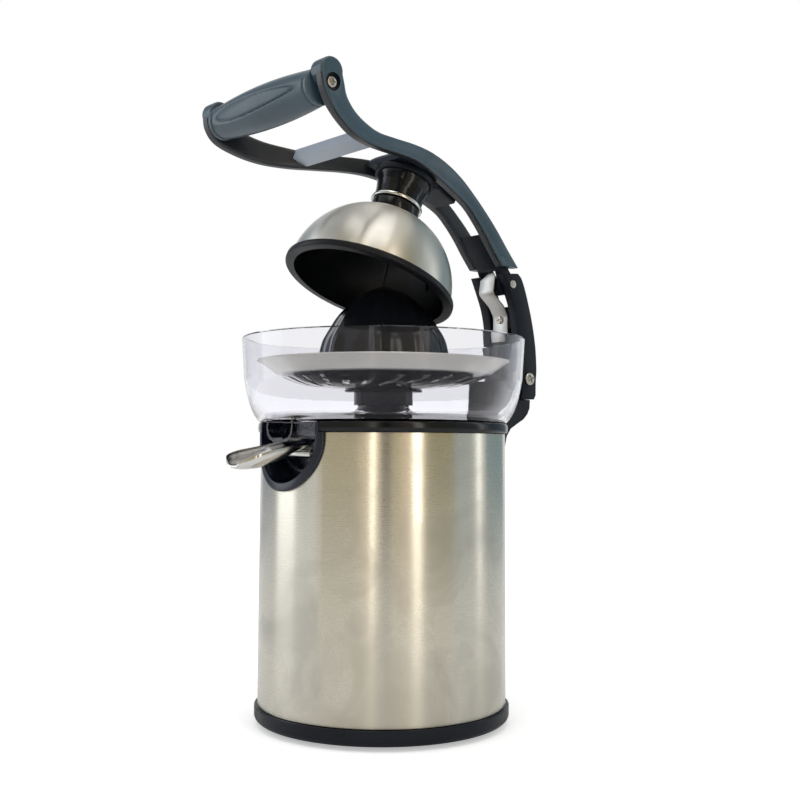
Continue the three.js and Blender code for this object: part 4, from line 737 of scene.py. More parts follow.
def finish(name):
    """The finish of that name, made on first use from the settings."""
    f, d = settings().finish, settings().dome
    tilt = (-d.open_angle, 0, 0)
    pin = Vector((0, AXIS[1] + d.hinge_reach, d.hinge_level))
    dome_centre = pin + Matrix.Rotation(-d.open_angle, 3, "X") @ Vector((0, -d.hinge_reach, -d.hinge_rise))
    makers = {
        "drum steel": lambda: brushed_steel(name, f.drum, 0.27),
        "dome steel": lambda: brushed_steel(name, f.dome, 0.3, tilt, tuple(dome_centre), smudge=0.06),
        "sieve steel": lambda: brushed_steel(name, SIEVE_TONE_AND_PAINTED_REFLECTION, 0.6, smudge=0.05, polish_and_painted_dark=SIEVE_POLISH_AND_PAINTED_DARK),
        "sheet steel": lambda: sheet_steel(name, f.sheet, 0.16),
        "satin steel": lambda: sheet_steel(name, tinted(f.sheet, 0.78), 0.36),
        "screw steel": lambda: sheet_steel(name, f.screw, 0.26),
        "slate plastic": lambda: moulded_plastic(name, f.slate, 0.36, coat=0.15),
        "arm plastic with painted shade": lambda: arm_plastic_with_painted_shade(name, f.slate, ARM_PAINTED_SHADE_TONE, 0.36),
        "pale slate": lambda: moulded_plastic(name, CROSSBAR_TONE, 0.3, coat=0.2, lift=1.1),
        "satin black": lambda: moulded_plastic(name, f.satin, 0.34, gleam=0.15),
        "lining black": lambda: moulded_plastic(name, f.gloss, 0.3, relief=0.05, lift=1.2, gleam=0.22),
        "navy black": lambda: moulded_plastic(name, RECESS_TONE, 0.2, relief=0.08, lift=1.2, gleam=0.4),
        "deep black": lambda: moulded_plastic(name, f.gloss, 0.2, relief=0.05, lift=1.2, gleam=0.15),
        "gloss black": lambda: moulded_plastic(name, f.gloss, 0.1, relief=0.01, lift=1.2, gleam=0.3),
        "clear plastic": lambda: clear_plastic(name, f.clear),
        "rubber": lambda: rubber(name, RUBBER_TONE),
        "gear plastic": lambda: moulded_plastic(name, GEAR_TONE, 0.45, lift=1.05),
        "bronze": lambda: sheet_steel(name, BRONZE_TONE, 0.35),
        "motor metal": lambda: sheet_steel(name, MOTOR_TONE, 0.4),
    }
    if name not in MATERIALS:
        MATERIALS[name] = makers[name]()
    return MATERIALS[name]


# ---- Shapes shared by several pieces --------------------------------------


def u_path(radius, level, top):
    """Points (x, z) of a U open at the top, two lines and a half circle, with its outward directions."""
    rungs = 7
    angle = np.linspace(math.pi, 2 * math.pi, 48)
    arc_out = np.stack([np.cos(angle), np.sin(angle)], axis=-1)
    rise = np.linspace(top, level, rungs + 1)[:-1]
    left = np.stack([np.full(rungs, -radius), rise], axis=-1)
    out = np.concatenate([np.tile([-1.0, 0.0], (rungs, 1)), arc_out, np.tile([1.0, 0.0], (rungs, 1))])
    return np.concatenate([left, radius * arc_out + [0, level], left[::-1] * [-1, 1]]), out


def u_section(path, out, offsets):
    """x and z of a section carried along a U: each point plus its outward direction times each offset."""
    places = path[:, None] + out[:, None] * offsets[None, :, None]
    return places[..., 0], places[..., 1]


def recess_level():
    """Level of the middle of the recess's round part."""
    return settings().drum.top - 2.8 * MM


def recess_cut():
    """A solid U-shaped plug along Y, open upwards past the deck, that cuts the recess's opening."""
    s, p = settings().drum, settings().spout
    points, _ = u_path(p.frame_radius - p.frame_band + 2.3 * MM, recess_level(), settings().bowl.rim_level)
    return prism("cut", points, "Y", -s.radius - OVERCUT, -(s.radius - p.recess_depth))


def aimed(obj, axis):
    """Turns a mesh made along +Z to point along an axis."""
    turns = {
        "X": (0.5, "Y"), "-X": (-0.5, "Y"), "Y": (-0.5, "X"), "-Y": (0.5, "X"), "Z": (0, "X"), "-Z": (1, "X"),
    }
    half_turns, about = turns[axis]
    return moved(obj, Matrix.Rotation(half_turns * math.pi, 4, about))


def screw_head(name, radius, height, axis):
    """A domed head from 0 with a cross recess: a rounded profile turned round Z, pointed along an axis."""
    soft = height * 0.3
    profile = [(0, 0), (radius, 0), (radius, height * 0.45), (radius * 0.86, height * 0.85),
               (radius * 0.5, height), (0, height)]
    head = lathe(name, rounded(profile, [0, height * 0.2, soft, soft, soft, 0]), 48)
    half_width, half_length = radius * 0.13, radius * 0.62
    for turn in (0.4, 0.4 + math.pi / 2):
        outline = rectangle(-half_length, -half_width, half_length, half_width)
        slot = prism("slot", outline, "Z", height * 0.35, height * 1.5)
        carve(head, moved(slot, Matrix.Rotation(turn, 4, "Z")))
    return aimed(head, axis)


def shank(name, radius, span, axis):
    """A plain round shank from 0: a rounded rectangle turned round Z, pointed along an axis."""
    return aimed(lathe(name, rounded(rectangle(0, 0, radius, span), radius * 0.2), 32), axis)


# ---- Operators ------------------------------------------------------------


class Piece:
    """What the operators share."""

    bl_options = {"REGISTER", "UNDO"}


class PRESS_OT_base(Piece, bpy.types.Operator):
    """Black base with its vents, and the rubber feet"""

    bl_idname = "press.base"
    bl_label = "Base and Feet"

    def execute(self, context):
        s = settings().drum
        bottom = float(low("base_plate")[2])
        top, floor = s.bottom - GAP, bottom + 3 * MM
        spigot, spigot_top = s.radius - s.wall - GAP, top + 7.5 * MM
        bore = spigot - 2.5 * MM
        outer = s.base_radius
        profile = [(0, bottom), (outer - 3 * MM, bottom), (outer, bottom + 2.4 * MM), (outer, top),
                   (spigot, top), (spigot, spigot_top), (bore, spigot_top), (bore, floor), (0, floor)]
        base = lathe("base", rounded(profile, np.array([0, 2, 2, 0.5, 0.3, 0.4, 0.4, 1, 0]) * MM), 200)
        cutters = []
        vents, pitch, half_width, half_length = 6, 7, 1.5 * MM, 13 * MM
        for k in range(vents):
            x = (k - (vents - 1) / 2) * pitch * MM
            slot = rectangle(x - half_width, -half_length, x + half_width, half_length)
            slot = rounded(slot, 1.4 * MM, closed=True)
            cutters.append(prism("vent", slot, "Z", bottom - OVERCUT, floor + OVERCUT))
        for k in range(4):
            turn = k * math.pi / 2
            well = plug("well", s.foot_radius + GAP, bottom + 1.5 * MM, 48)
            at = (s.foot_reach * math.cos(turn), s.foot_reach * math.sin(turn), 0)
            cutters.append(moved(well, Matrix.Translation(at)))
        for k in range(4):
            x, y, _ = centre_of(f"tie_screw_{k + 1}")
            hole = plug("hole", 3.8 * MM, bottom + 2.7 * MM, 32)
            cutters.append(moved(hole, Matrix.Translation((x, y, 0))))
        carve(base, join(*cutters))
        finish_piece(base, "housing", finish("satin black"), ["base_plate"])
        r, hollow = s.foot_radius, 0.4 * MM
        for k in range(4):
            name = f"rubber_foot_{k + 1}"
            (x, y, _), height = centre_of(name), high(name)[2] - low(name)[2]
            profile = [(0, hollow), (r * 0.62, hollow), (r * 0.7, 0), (r, 0), (r, height), (0, height)]
            foot = lathe(f"foot_{k + 1}", rounded(profile, np.array([0, 0.3, 0.3, 0.8, 0.2, 0]) * MM), 64)
            moved(foot, Matrix.Translation((x, y, low(name)[2])))
            finish_piece(foot, "housing", finish("rubber"), [name])
        return {"FINISHED"}


class PRESS_OT_drum(Piece, bpy.types.Operator):
    """Brushed steel drum with its cut-out for the spout, and the black rim above it"""

    bl_idname = "press.drum"
    bl_label = "Drum and Rim"

    def execute(self, context):
        s = settings().drum
        wall = rectangle(s.radius - s.wall, s.bottom, s.radius, s.top)
        drum = carve(lathe("drum", rounded(wall, 0.3 * MM, 4, True), 256), recess_cut())
        finish_piece(drum, "housing", finish("drum steel"), ["housing_sleeve"])
        under, top, inner = s.top + GAP, s.deck_top, s.deck_radius - 1.6 * MM
        turn = np.linspace(-math.pi / 2, math.pi / 2, 17)
        edge = np.stack([s.deck_radius + 0.05 * MM + 0.7 * MM * np.cos(turn),
                         (under + top) / 2 + (top - under) / 2 * np.sin(turn)], axis=-1)
        rim = lathe("deck_rim", np.concatenate([[(inner, under)], edge, [(inner, top)]]), 256)
        finish_piece(carve(rim, recess_cut()), "housing", finish("gloss black"))
        return {"FINISHED"}


class PRESS_OT_recess(Piece, bpy.types.Operator):
    """Black U-shaped frame on the drum and the recess behind it"""

    bl_idname = "press.recess"
    bl_label = "Spout Recess"

    def execute(self, context):
        s, p = settings().drum, settings().spout
        level, top = recess_level(), s.deck_top - GAP
        half, proud, wall = p.frame_band / 2, p.frame_proud, 2 * MM
        path, out = u_path(p.frame_radius - half, level, s.top)
        section = rounded(rectangle(-half, GAP, half, proud), np.array([0.2, 0.2, 0.9, 0.9]) * MM, 5, True)
        x, z = u_section(path, out, section[:, 0])
        y = -np.sqrt(np.maximum((s.radius + section[:, 1]) ** 2 - x**2, 0))
        band = tidy(grid("spout_frame", np.stack([x, y, z], axis=-1)))
        inner = p.frame_radius - p.frame_band
        back = -(s.radius - p.recess_depth)
        path, out = u_path(inner, level, top)
        x, z = u_section(path, out, np.array([0, 0, wall, wall]))
        front = -np.sqrt((s.radius + proud - 0.2 * MM) ** 2 - x**2)
        y = np.where([True, False, False, True], front, back + wall)
        parts = [tidy(grid("recess_wall", np.stack([x, y, z], axis=-1)))]
        parts.append(prism("recess_back", u_path(inner + wall, level, top)[0], "Y", back, back + wall))
        path, out = u_path(20.5 * MM, level, top)
        x, z = u_section(path, out, np.array([-1.6, -1.6, 0, 0]) * MM)
        y = np.broadcast_to(back + np.array([-5, 0.2, 0.2, -5]) * MM, x.shape)
        parts.append(tidy(grid("recess_rib", np.stack([x, y, z], axis=-1))))
        start, end = low("spout_pin")[0], high("spout_pin")[0]
        _, pin_y, pin_z = centre_of("spout_pin")
        for side in (-1, 1):
            boss = shank("boss", 3.5 * MM, inner - end - GAP + 0.2 * MM, OUTWARD[side])
            parts.append(moved(boss, Matrix.Translation((side * (end + GAP), pin_y, pin_z))))
        join(band, *parts)
        finish_piece(band, "housing", finish("navy black"), ["spout_housing"])
        pin = shank("spout_cross_pin", 1.5 * MM, end - start, "X")
        moved(pin, Matrix.Translation((start, pin_y, pin_z)))
        finish_piece(pin, "housing", finish("screw steel"), ["spout_pin"])
        return {"FINISHED"}


class PRESS_OT_spout(Piece, bpy.types.Operator):
    """Pressed steel pouring spout with its barrel on the cross pin"""

    bl_idname = "press.spout"
    bl_label = "Pouring Spout"

    # Stations from the pin to the tip: shares of the reach, then of the half width for the floor's level,
    # the half width there and the depth of the sides
    stations = [
        (0, 0.19, 0.9, 0.25), (0.22, 0.03, 0.94, 0.27), (0.45, -0.26, 0.985, 0.44), (0.7, -0.46, 1, 0.52),
        (0.88, -0.5, 0.88, 0.4), (1, -0.43, 0.3, 0.12),
    ]

    def execute(self, context):
        p = settings().spout
        _, pin_y, pin_z = centre_of("spout_pin")
        across = np.linspace(-1, 1, 61)[None]
        curve = spline(self.stations, np.linspace(0, 1, 90))
        along, up, wide, deep = (curve[:, k][:, None] for k in range(4))

        def surface(lift):
            x = p.half_width * wide * np.sin(across * math.pi / 2)
            z = p.half_width * up + p.half_width * deep * np.abs(across) ** 2.2 + lift
            return np.stack([x, np.broadcast_to(-p.reach * along, x.shape), z], axis=-1)

        ring = np.concatenate([surface(p.sheet / 2), surface(-p.sheet / 2)[:, ::-1]], axis=1)
        chute = bevelled(tidy(grid("pouring_chute", ring)), 0.25 * MM, 2, 50)
        half = p.half_width * self.stations[0][2]
        barrel = lathe("barrel", rounded(rectangle(1.8 * MM, 0, 2.7 * MM, 2 * half), 0.2 * MM, 3, True), 48)
        moved(barrel, Matrix.Translation((-half, 0, 0)) @ Matrix.Rotation(math.pi / 2, 4, "Y"))
        join(chute, barrel)
        moved(chute, Matrix.Translation((0, pin_y, pin_z)))
        finish_piece(chute, "spout", finish("sheet steel"), ["pouring_spout"])
        return {"FINISHED"}


class PRESS_OT_bowl(Piece, bpy.types.Operator):
    """Clear juice bowl with its chimney and outlet trough"""

    bl_idname = "press.bowl"
    bl_label = "Juice Bowl"

    def execute(self, context):
        s, b = settings().drum, settings().bowl
        bottom = s.deck_top + GAP
        rim, wall = b.rim_level, b.wall
        foot = s.radius + 0.5 * MM
        shoulder, shoulder_rise = b.rim_radius - 1.5 * MM, 27 * MM
        bend_in, bend_up = 3.3 * MM, 5.4 * MM
        t = np.linspace(0, 1, 20)[:, None]

        def side(inset):
            start = np.array([foot - inset, bottom + inset])
            bend = np.array([shoulder - bend_in - inset, bottom + bend_up + inset])
            end = np.array([shoulder - inset, bottom + shoulder_rise])
            curve = (1 - t) ** 2 * start + 2 * t * (1 - t) * bend + t**2 * end
            return np.concatenate([curve, [[b.rim_radius - inset, rim - 0.6 * MM]]])

        lip = [[b.rim_radius - 0.5 * MM, rim], [b.rim_radius - wall + 0.5 * MM, rim]]
        floor = bottom + wall
        chimney_bore, chimney, chimney_top = 14 * MM, 16 * MM, low("sieve_hub")[2] + 9.1 * MM
        profile = np.concatenate([
            [[chimney_bore, bottom], [foot - 2.5 * MM, bottom]], side(0), lip, side(wall)[::-1],
            [[20.6 * MM, floor], [18 * MM, floor + 1.2 * MM], [chimney, floor + 4.4 * MM],
             [chimney, chimney_top], [chimney_bore, chimney_top]],
        ])
        bowl = lathe("clear_bowl", profile, 200)
        front, back, trough_wall = -(s.radius + 3 * MM), -(s.radius - 17 * MM), 1.8 * MM

        def trough(margin, top):
            w, lowest, r = 13 * MM - margin, bottom - TROUGH_DEPTH + margin, 8 * MM - margin
            a = np.linspace(math.pi, 1.5 * math.pi, 12)
            left = np.stack([r - w + r * np.cos(a), lowest + r + r * np.sin(a)], axis=-1)
            return np.concatenate([[[w, top], [-w, top]], left, left[::-1] * [-1, 1]])

        carve(bowl, prism("trough", trough(0, bottom + wall / 2), "Y", front, back), "UNION")
        inner_back = back - trough_wall
        channel = trough(trough_wall, bottom + wall / 3)
        carve(bowl, prism("channel", channel, "Y", front - OVERCUT, inner_back))
        carve(bowl, prism("drain", trough(trough_wall, floor + wall), "Y", -(foot - 2 * wall), inner_back))
        finish_piece(bowl, "housing", finish("clear plastic"), ["juice_bowl"])
        return {"FINISHED"}


class PRESS_OT_sieve(Piece, bpy.types.Operator):
    """Slotted steel sieve and the black hub under it"""

    bl_idname = "press.sieve"
    bl_label = "Sieve and Hub"

    slot_length, slot_width, slot_end, slot_slant = 25 * MM, 4 * MM, 62 * MM, math.radians(22)

    def execute(self, context):
        b = settings().bowl
        rim, floor, sheet = b.sieve_rim, b.sieve_floor, 1 * MM
        rise = (rim - floor) / MM
        outer = [(13, 0), (30, 0), (50, 2.63), (62, rise - 11.4), (77, rise - 1)]
        under = np.array(outer) * MM + [0, floor]
        over = under + [0, sheet]
        over[-1] = [b.sieve_radius - 1.6 * MM, rim - 0.2 * MM]
        lip = [[b.sieve_radius, rim - 1 * MM], [b.sieve_radius, rim - 0.2 * MM],
               [b.sieve_radius - 0.8 * MM, rim]]
        radii = np.array([0, 4, 5, 3, 0.6, 0.3, 0.3, 0.3, 0.6, 3, 5, 4, 0]) * MM
        shape = rounded(np.concatenate([under, lip, over[::-1]]), radii, 6, True)
        sieve = lathe("slotted_sieve", shape, 240)
        slot = rectangle(-self.slot_length, -self.slot_width / 2, 0, self.slot_width / 2)
        slot = rounded(slot, 1.8 * MM, 5, True)
        place = Matrix.Translation((self.slot_end, 0, 0)) @ Matrix.Rotation(self.slot_slant, 4, "Z")
        cutters = []
        for k in range(b.slots):
            tool = prism("slot", slot, "Z", floor - OVERCUT, rim + OVERCUT)
            cutters.append(moved(tool, Matrix.Rotation(2 * math.pi * k / b.slots, 4, "Z") @ place))
        carve(sieve, join(*cutters))
        finish_piece(sieve, "housing", finish("sieve steel"), ["sieve"], 40)
        top, bottom = floor - GAP, float(low("sieve_hub")[2])
        profile = [(5.6, 2.8), (12.7, 2.8), (12.7, 0), (24, 0), (24, -1.6), (18.3, -1.6), (18.3, None),
                   (16.3, None), (16.3, -1.6), (5.6, -1.6)]
        shape = [(r * MM, bottom if h is None else top + h * MM) for r, h in profile]
        hub = lathe("sieve_boss", rounded(shape, 0.5 * MM, 4, True), 120)
        finish_piece(hub, "housing", finish("deep black"), ["sieve_hub"])
        return {"FINISHED"}


class PRESS_OT_cone(Piece, bpy.types.Operator):
    """Ribbed juicing cone"""

    bl_idname = "press.cone"
    bl_label = "Juicing Cone"

    # Profiles from foot to tip, as shares of the foot's radius and of the height
    shares = [
        (1, 0), (1, 0.07), (0.96, 0.28), (0.91, 0.42), (0.8, 0.56), (0.68, 0.69), (0.5, 0.82), (0.3, 0.93),
        (0.04, 1),
    ]
    inner_shares = [(0.0, 0.72), (0.34, 0.68), (0.62, 0.5), (0.89, 0.2), (0.93, 0.0)]

    def execute(self, context):
        c = settings().cone
        foot = c.bottom + 2.2 * MM
        height = c.top - foot
        t = np.linspace(0, 1, 80)
        line = spline(self.shares, t) * [c.radius, height] + [0, foot]
        line[-1] = [0, c.top]
        angle = np.linspace(0, 2 * math.pi, c.ribs * 40, endpoint=False)
        valley = 1 - np.abs(np.cos(angle * c.ribs / 2))[None] ** 7
        fade = np.clip((1 - t) * 4, 0, 1) * np.clip(t * 12, 0, 1)
        depth = c.rib_height * fade[:, None] * valley * np.clip(line[:, 0] / c.radius + 0.2, 0, 1)[:, None]
        outer = turned_points(np.maximum(line[:, :1] - depth, 0), line[:, 1], angle)
        hollow = np.array(self.inner_shares) * [c.radius, height] + [0, foot]
        inner = turned_points(hollow[:, :1], hollow[:, 1], angle)
        cone = tidy(grid("ribbed_cone", np.concatenate([outer, inner]), wrap_rows=True))
        wall = rectangle(4.1 * MM, c.bottom, 9 * MM, foot + height * 0.7)
        join(cone, lathe("socket", rounded(wall, 0.5 * MM, 4, True), 48))
        finish_piece(cone, "cone", finish("gloss black"), ["juicing_cone"], 30)
        return {"FINISHED"}


# Heights of the neck's pieces over the dome
COLLAR_HEIGHT, RING_HEIGHT, NECK_HEIGHT = 4.7 * MM, 2.2 * MM, 15 * MM


class PRESS_OT_dome(Piece, bpy.types.Operator):
    """Steel dome, its black liner with the rim, and the neck that carries it"""

    bl_idname = "press.dome"
    bl_label = "Dome and Neck"

    def execute(self, context):
        d = settings().dome
        centre, rim, sheet, liner_wall, bore = d.centre_rise, d.rim_height, 1 * MM, 2 * MM, 3.3 * MM

        def quarter(radius, start):
            first = math.asin(min(1, max(-1, (start - centre) / radius)))
            a = np.linspace(first, math.acos(bore / radius), 40)
            return np.stack([radius * np.cos(a), centre + radius * np.sin(a)], axis=-1)

        def add(piece, slot, material, node):
            finish_piece(raise_lever(piece, True), "lever", finish(material), [node])

        shell = np.concatenate([quarter(d.radius, rim + GAP), quarter(d.radius - sheet, rim + GAP)[::-1]])
        add(lathe("press_dome", shell, 220), "brushed_steel", "dome steel", "dome_shell")
        outer = d.radius - sheet - GAP
        inner = outer - liner_wall
        edge = rectangle(inner, 0, d.rim_radius, rim)[:3] + [(outer, rim)]
        edge = rounded(edge, np.array([0.4, 1.4, 1.4, 0.1]) * MM, 7)
        liner = np.concatenate([edge, quarter(outer, rim)[1:], quarter(inner, centre)[::-1]])
        lining = lathe("dome_lining", liner, 220)
        ribs = []
        a = np.linspace(math.radians(24), math.radians(62), 24)
        for k in range(8):
            crest, root = (
                np.stack([(inner + rise) * np.cos(a), centre + (inner + rise) * np.sin(a)], axis=-1)
                for rise in (-1.6 * MM, 0.7 * MM)
            )
            rib = prism("rib", np.concatenate([root, crest[::-1]]), "X", -0.9 * MM, 0.9 * MM)
            ribs.append(moved(rib, Matrix.Rotation(k * math.pi / 4, 4, "Z")))
        add(join(lining, *ribs), "black_gloss", "lining black", "dome_liner")
        crown = d.radius + GAP
        top = centre + crown + COLLAR_HEIGHT
        feet = [(x * MM, centre + math.sqrt(crown**2 - (x * MM) ** 2)) for x in (3.3, 6, 9, 12, 15.5)]
        collar = [(15.5 * MM, top), (bore, top), *feet]
        collar = rounded(collar, np.array([1, 0, 0, 0, 0, 0, 0.2]) * MM, 4, True)
        add(lathe("neck_band", collar, 120), "black_gloss", "gloss black", "neck_collar")
        start = top + GAP
        top = start + RING_HEIGHT
        ring = rounded(rectangle(bore, start, 16.8 * MM, top), np.array([0, 0.8, 0.8, 0]) * MM, 6, True)
        add(lathe("neck_bead", ring, 120), "polished_steel", "sheet steel", "neck_ring")
        start = top + GAP
        top = start + NECK_HEIGHT
        outline = [
            (3.3, 0), (15.3, 0), (15.4, 2), (15.6, 5.5), (16.4, 9.5), (17.6, 13.4), (18, 15), (3.3, 15),
        ]
        neck = rounded([(x * MM, start + h * MM) for x, h in outline], 0.5 * MM, 4, True)
        add(lathe("upper_neck", neck, 120), "black_gloss", "gloss black", "neck")
        head_radius = 6 * MM
        head_top = centre + math.sqrt(inner**2 - head_radius**2) - GAP
        seat = Matrix.Translation((0, 0, head_top))
        head = moved(screw_head("dome_screw", head_radius, 2.4 * MM, "-Z"), seat)
        stem = moved(shank("stem", 3 * MM, top + 6 * MM - head_top, "Z"), seat)
        add(join(head, stem), "screw_steel", "screw steel", "dome_bolt")
        return {"FINISHED"}


# Stations of a side arm, as shares of the grip's reach, the arm's rise and
# the way from hinge width to grip width: lower edge, upper edge, outer face
ARM_SHARES = [
    (0.068, 0.163, -0.005, 0.32, 0), (0.12, 0.3, 0.058, 0.475, 0), (0.17, 0.445, 0.121, 0.64, 0),
    (0.221, 0.57, 0.183, 0.775, 0.005), (0.275, 0.665, 0.259, 0.908, 0.018),
    (0.352, 0.69, 0.337, 0.993, 0.055), (0.43, 0.675, 0.419, 0.995, 0.12), (0.491, 0.648, 0.501, 0.93, 0.187),
    (0.554, 0.58, 0.578, 0.797, 0.264), (0.623, 0.443, 0.66, 0.614, 0.352),
    (0.691, 0.282, 0.737, 0.445, 0.45), (0.769, 0.104, 0.809, 0.346, 0.582),
    (0.845, -0.02, 0.872, 0.292, 0.725),
    (0.915, -0.057, 0.925, 0.304, 0.857), (0.979, -0.022, 0.959, 0.361, 0.967),
    (1.021, 0.111, 0.973, 0.403, 1), (1.045, 0.304, 0.979, 0.448, 1),
]

# Where an arm's tip and the grip's axis are, as shares of the grip's reach and the arm's rise
TIP_SHARES = (1.012, 0.376)
GRIP_SHARES = (0.997, 0.235)

# Depth of the screw wells in the arms' tips
WELL_DEPTH = 2.6 * MM


def lever_place(x, shares):
    """A place on the lowered lever, from the hinge pin."""
    lever = settings().lever
    return (x, -shares[0] * lever.reach, shares[1] * lever.rise)


def arm_edges(t):
    """Lower and upper edge of the right arm's outer face, for the lowered lever, at places t."""
    lever = settings().lever
    rows = spline(ARM_SHARES, t)
    x = lever.hinge_half + rows[:, 4] * (lever.spread - lever.hinge_half)
    lower = np.stack([x, -rows[:, 0] * lever.reach, rows[:, 1] * lever.rise], axis=-1)
    upper = np.stack([x, -rows[:, 2] * lever.reach, rows[:, 3] * lever.rise], axis=-1)
    return lower, upper


class PRESS_OT_arms(Piece, bpy.types.Operator):
    """The two curved side arms of the lever"""

    bl_idname = "press.arms"
    bl_label = "Lever Arms"

    def execute(self, context):
        lever = settings().lever
        t = np.linspace(0, 1, 220)
        lower, upper = arm_edges(t)
        middle, half = (lower + upper) / 2, (upper - lower) / 2
        section = superellipse(72, 6)
        inward = 1 - (section[:, 0] * 0.5 + 0.5)
        groove = np.exp(-(((section[:, 1] + 0.45) / 0.07) ** 2)) * (section[:, 0] > 0.9)
        fade = np.clip(t / 0.04, 0, 1) * np.clip((0.93 - t) / 0.05, 0, 1)
        x = middle[:, None, 0] - lever.arm_thick * inward - 0.7 * MM * groove * fade[:, None]
        y = middle[:, None, 1] + half[:, None, 1] * section[None, :, 1]
        z = middle[:, None, 2] + half[:, None, 2] * section[None, :, 1]
        points = np.stack([x, y, z], axis=-1)
        tip_outline = rectangle(0, 0, lever.tip_radius, lever.tip_thick)
        tip_outline = rounded(tip_outline, np.array([0, 1.6, 1.6, 0]) * MM)
        for side, name in SIDES:
            arm = tidy(grid(f"side_arm_{name}", points * [side, 1, 1]))
            turned = Matrix.Rotation(side * math.pi / 2, 4, "Y")
            tip_at = lever_place(side * (lever.spread - lever.tip_thick), TIP_SHARES)
            # The tips take U 0 and keep the plain colour; the screw wells take U 0.5, painted shade
            tip = moved(one_place(lathe("tip", tip_outline, 72), 0.0), Matrix.Translation(tip_at) @ turned)
            well_at = lever_place(side * (lever.spread - WELL_DEPTH), GRIP_SHARES)
            well = one_place(plug("well", 5 * MM, 4 * MM, 72), 0.5)
            carve(join(arm, tip), moved(well, Matrix.Translation(well_at) @ turned))
            raise_lever(arm)
            finish_piece(arm, "lever", finish("arm plastic with painted shade"), [f"lever_arm_{name}"], 50)
        return {"FINISHED"}


def inner_faces(forward):
    """Half the width between the arms at a distance in front of the hinge, at their lower and upper edges."""
    faces = []
    for edge in arm_edges(np.linspace(0, 1, 400)):
        nearest = int(np.argmin(np.abs(edge[:, 1] + forward)))
        faces.append(edge[nearest, 0] - settings().lever.arm_thick)
    return faces


class PRESS_OT_crossbar(Piece, bpy.types.Operator):
    """Flat bar that ties the arms behind the grip"""

    bl_idname = "press.crossbar"
    bl_label = "Crossbar"

    def execute(self, context):
        lever = settings().lever
        forward, rise = 0.755 * lever.reach, 0.31 * lever.rise
        half = sum(inner_faces(forward)) / 2 + 1 * MM
        section = rounded([(-5.5, -3.5), (5.5, -3.5), (5.5, 0.2), (4.6, 2.6), (-4.6, 3.5), (-5.5, 3.0)],
                          [0.8, 0.8, 1.2, 1.6, 1.0, 0.6], 6, True) * MM
        bar = raise_lever(prism("cross_tie", section + [-forward, rise], "X", -half, half))
        finish_piece(bar, "lever", finish("pale slate"), ["lever_crossbar"], 25)
        return {"FINISHED"}


class PRESS_OT_hub(Piece, bpy.types.Operator):
    """Black hub between the arms, over the dome's neck"""

    bl_idname = "press.hub"
    bl_label = "Lever Hub"

    # The neck's pieces and the gaps between them, the pad under the hub, the ridge behind its
    # knob, and the ends of the hub from the dome's axis
    neck_stack = COLLAR_HEIGHT + RING_HEIGHT + NECK_HEIGHT + 4 * GAP
    pad, ridge, front, back = 4.1 * MM, 7.2 * MM, -19 * MM, 36 * MM

    def execute(self, context):
        d = settings().dome
        seat = d.centre_rise + d.radius + self.neck_stack - d.hinge_rise
        pad = rounded(rectangle(0, 0, 19.5 * MM, self.pad), np.array([0, 0.8, 1.2, 0]) * MM, 5)
        pad = moved(lathe("hub_pad", pad, 120), Matrix.Translation((0, -d.hinge_reach, seat)))
        y = np.linspace(-d.hinge_reach + self.front, -d.hinge_reach + self.back, 60)
        knob = np.sqrt(np.clip(1 - ((y + d.hinge_reach) / (19.2 * MM)) ** 2, 0, 1)) ** 0.6
        crown = np.where(y < -d.hinge_reach + 18 * MM, 4 * MM + 12.3 * MM * knob, self.ridge)
        crown = np.maximum(crown, np.where(y > -d.hinge_reach, self.ridge, 4.2 * MM))
        widths = np.array([min(inner_faces(-v)) for v in y]) - GAP
        section = superellipse(48, 7)
        half = (crown - 4 * MM) / 2
        x = np.minimum(widths, 18.6 * MM)[:, None] * section[None, :, 0]
        z = seat + 4 * MM + half[:, None] + np.maximum(half, 0.4 * MM)[:, None] * section[None, :, 1]
        join(pad, tidy(grid("hub_block", np.stack([x, np.broadcast_to(y[:, None], x.shape), z], axis=-1))))
        raise_lever(pad)
        finish_piece(pad, "lever", finish("satin black"), ["lever_hub"], 40)
        return {"FINISHED"}


def copied(node, name):
    """A merged copy of a frame node's solid, from the drum's axis, with its flat faces joined."""
    obj = bpy.data.objects.new(name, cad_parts[node].data.copy())
    bpy.context.collection.objects.link(obj)
    tidy(moved(obj, Matrix.Translation(-AXIS)), 2e-6)
    bm = bmesh.new()
    bm.from_mesh(obj.data)
    bmesh.ops.dissolve_limit(bm, angle_limit=math.radians(1), verts=bm.verts, edges=bm.edges)
    bm.to_mesh(obj.data)
    bm.free()
    return obj


class PRESS_OT_heel(Piece, bpy.types.Operator):
    """Black ribbed heel of the lever on the hinge pin"""

    bl_idname = "press.heel"
    bl_label = "Lever Heel"

    def execute(self, context):
        heel = bevelled(copied("lever_heel", "ribbed_heel"), 0.5 * MM, 2, 40)
        finish_piece(heel, "lever", finish("satin black"), ["lever_heel"], 35)
        return {"FINISHED"}


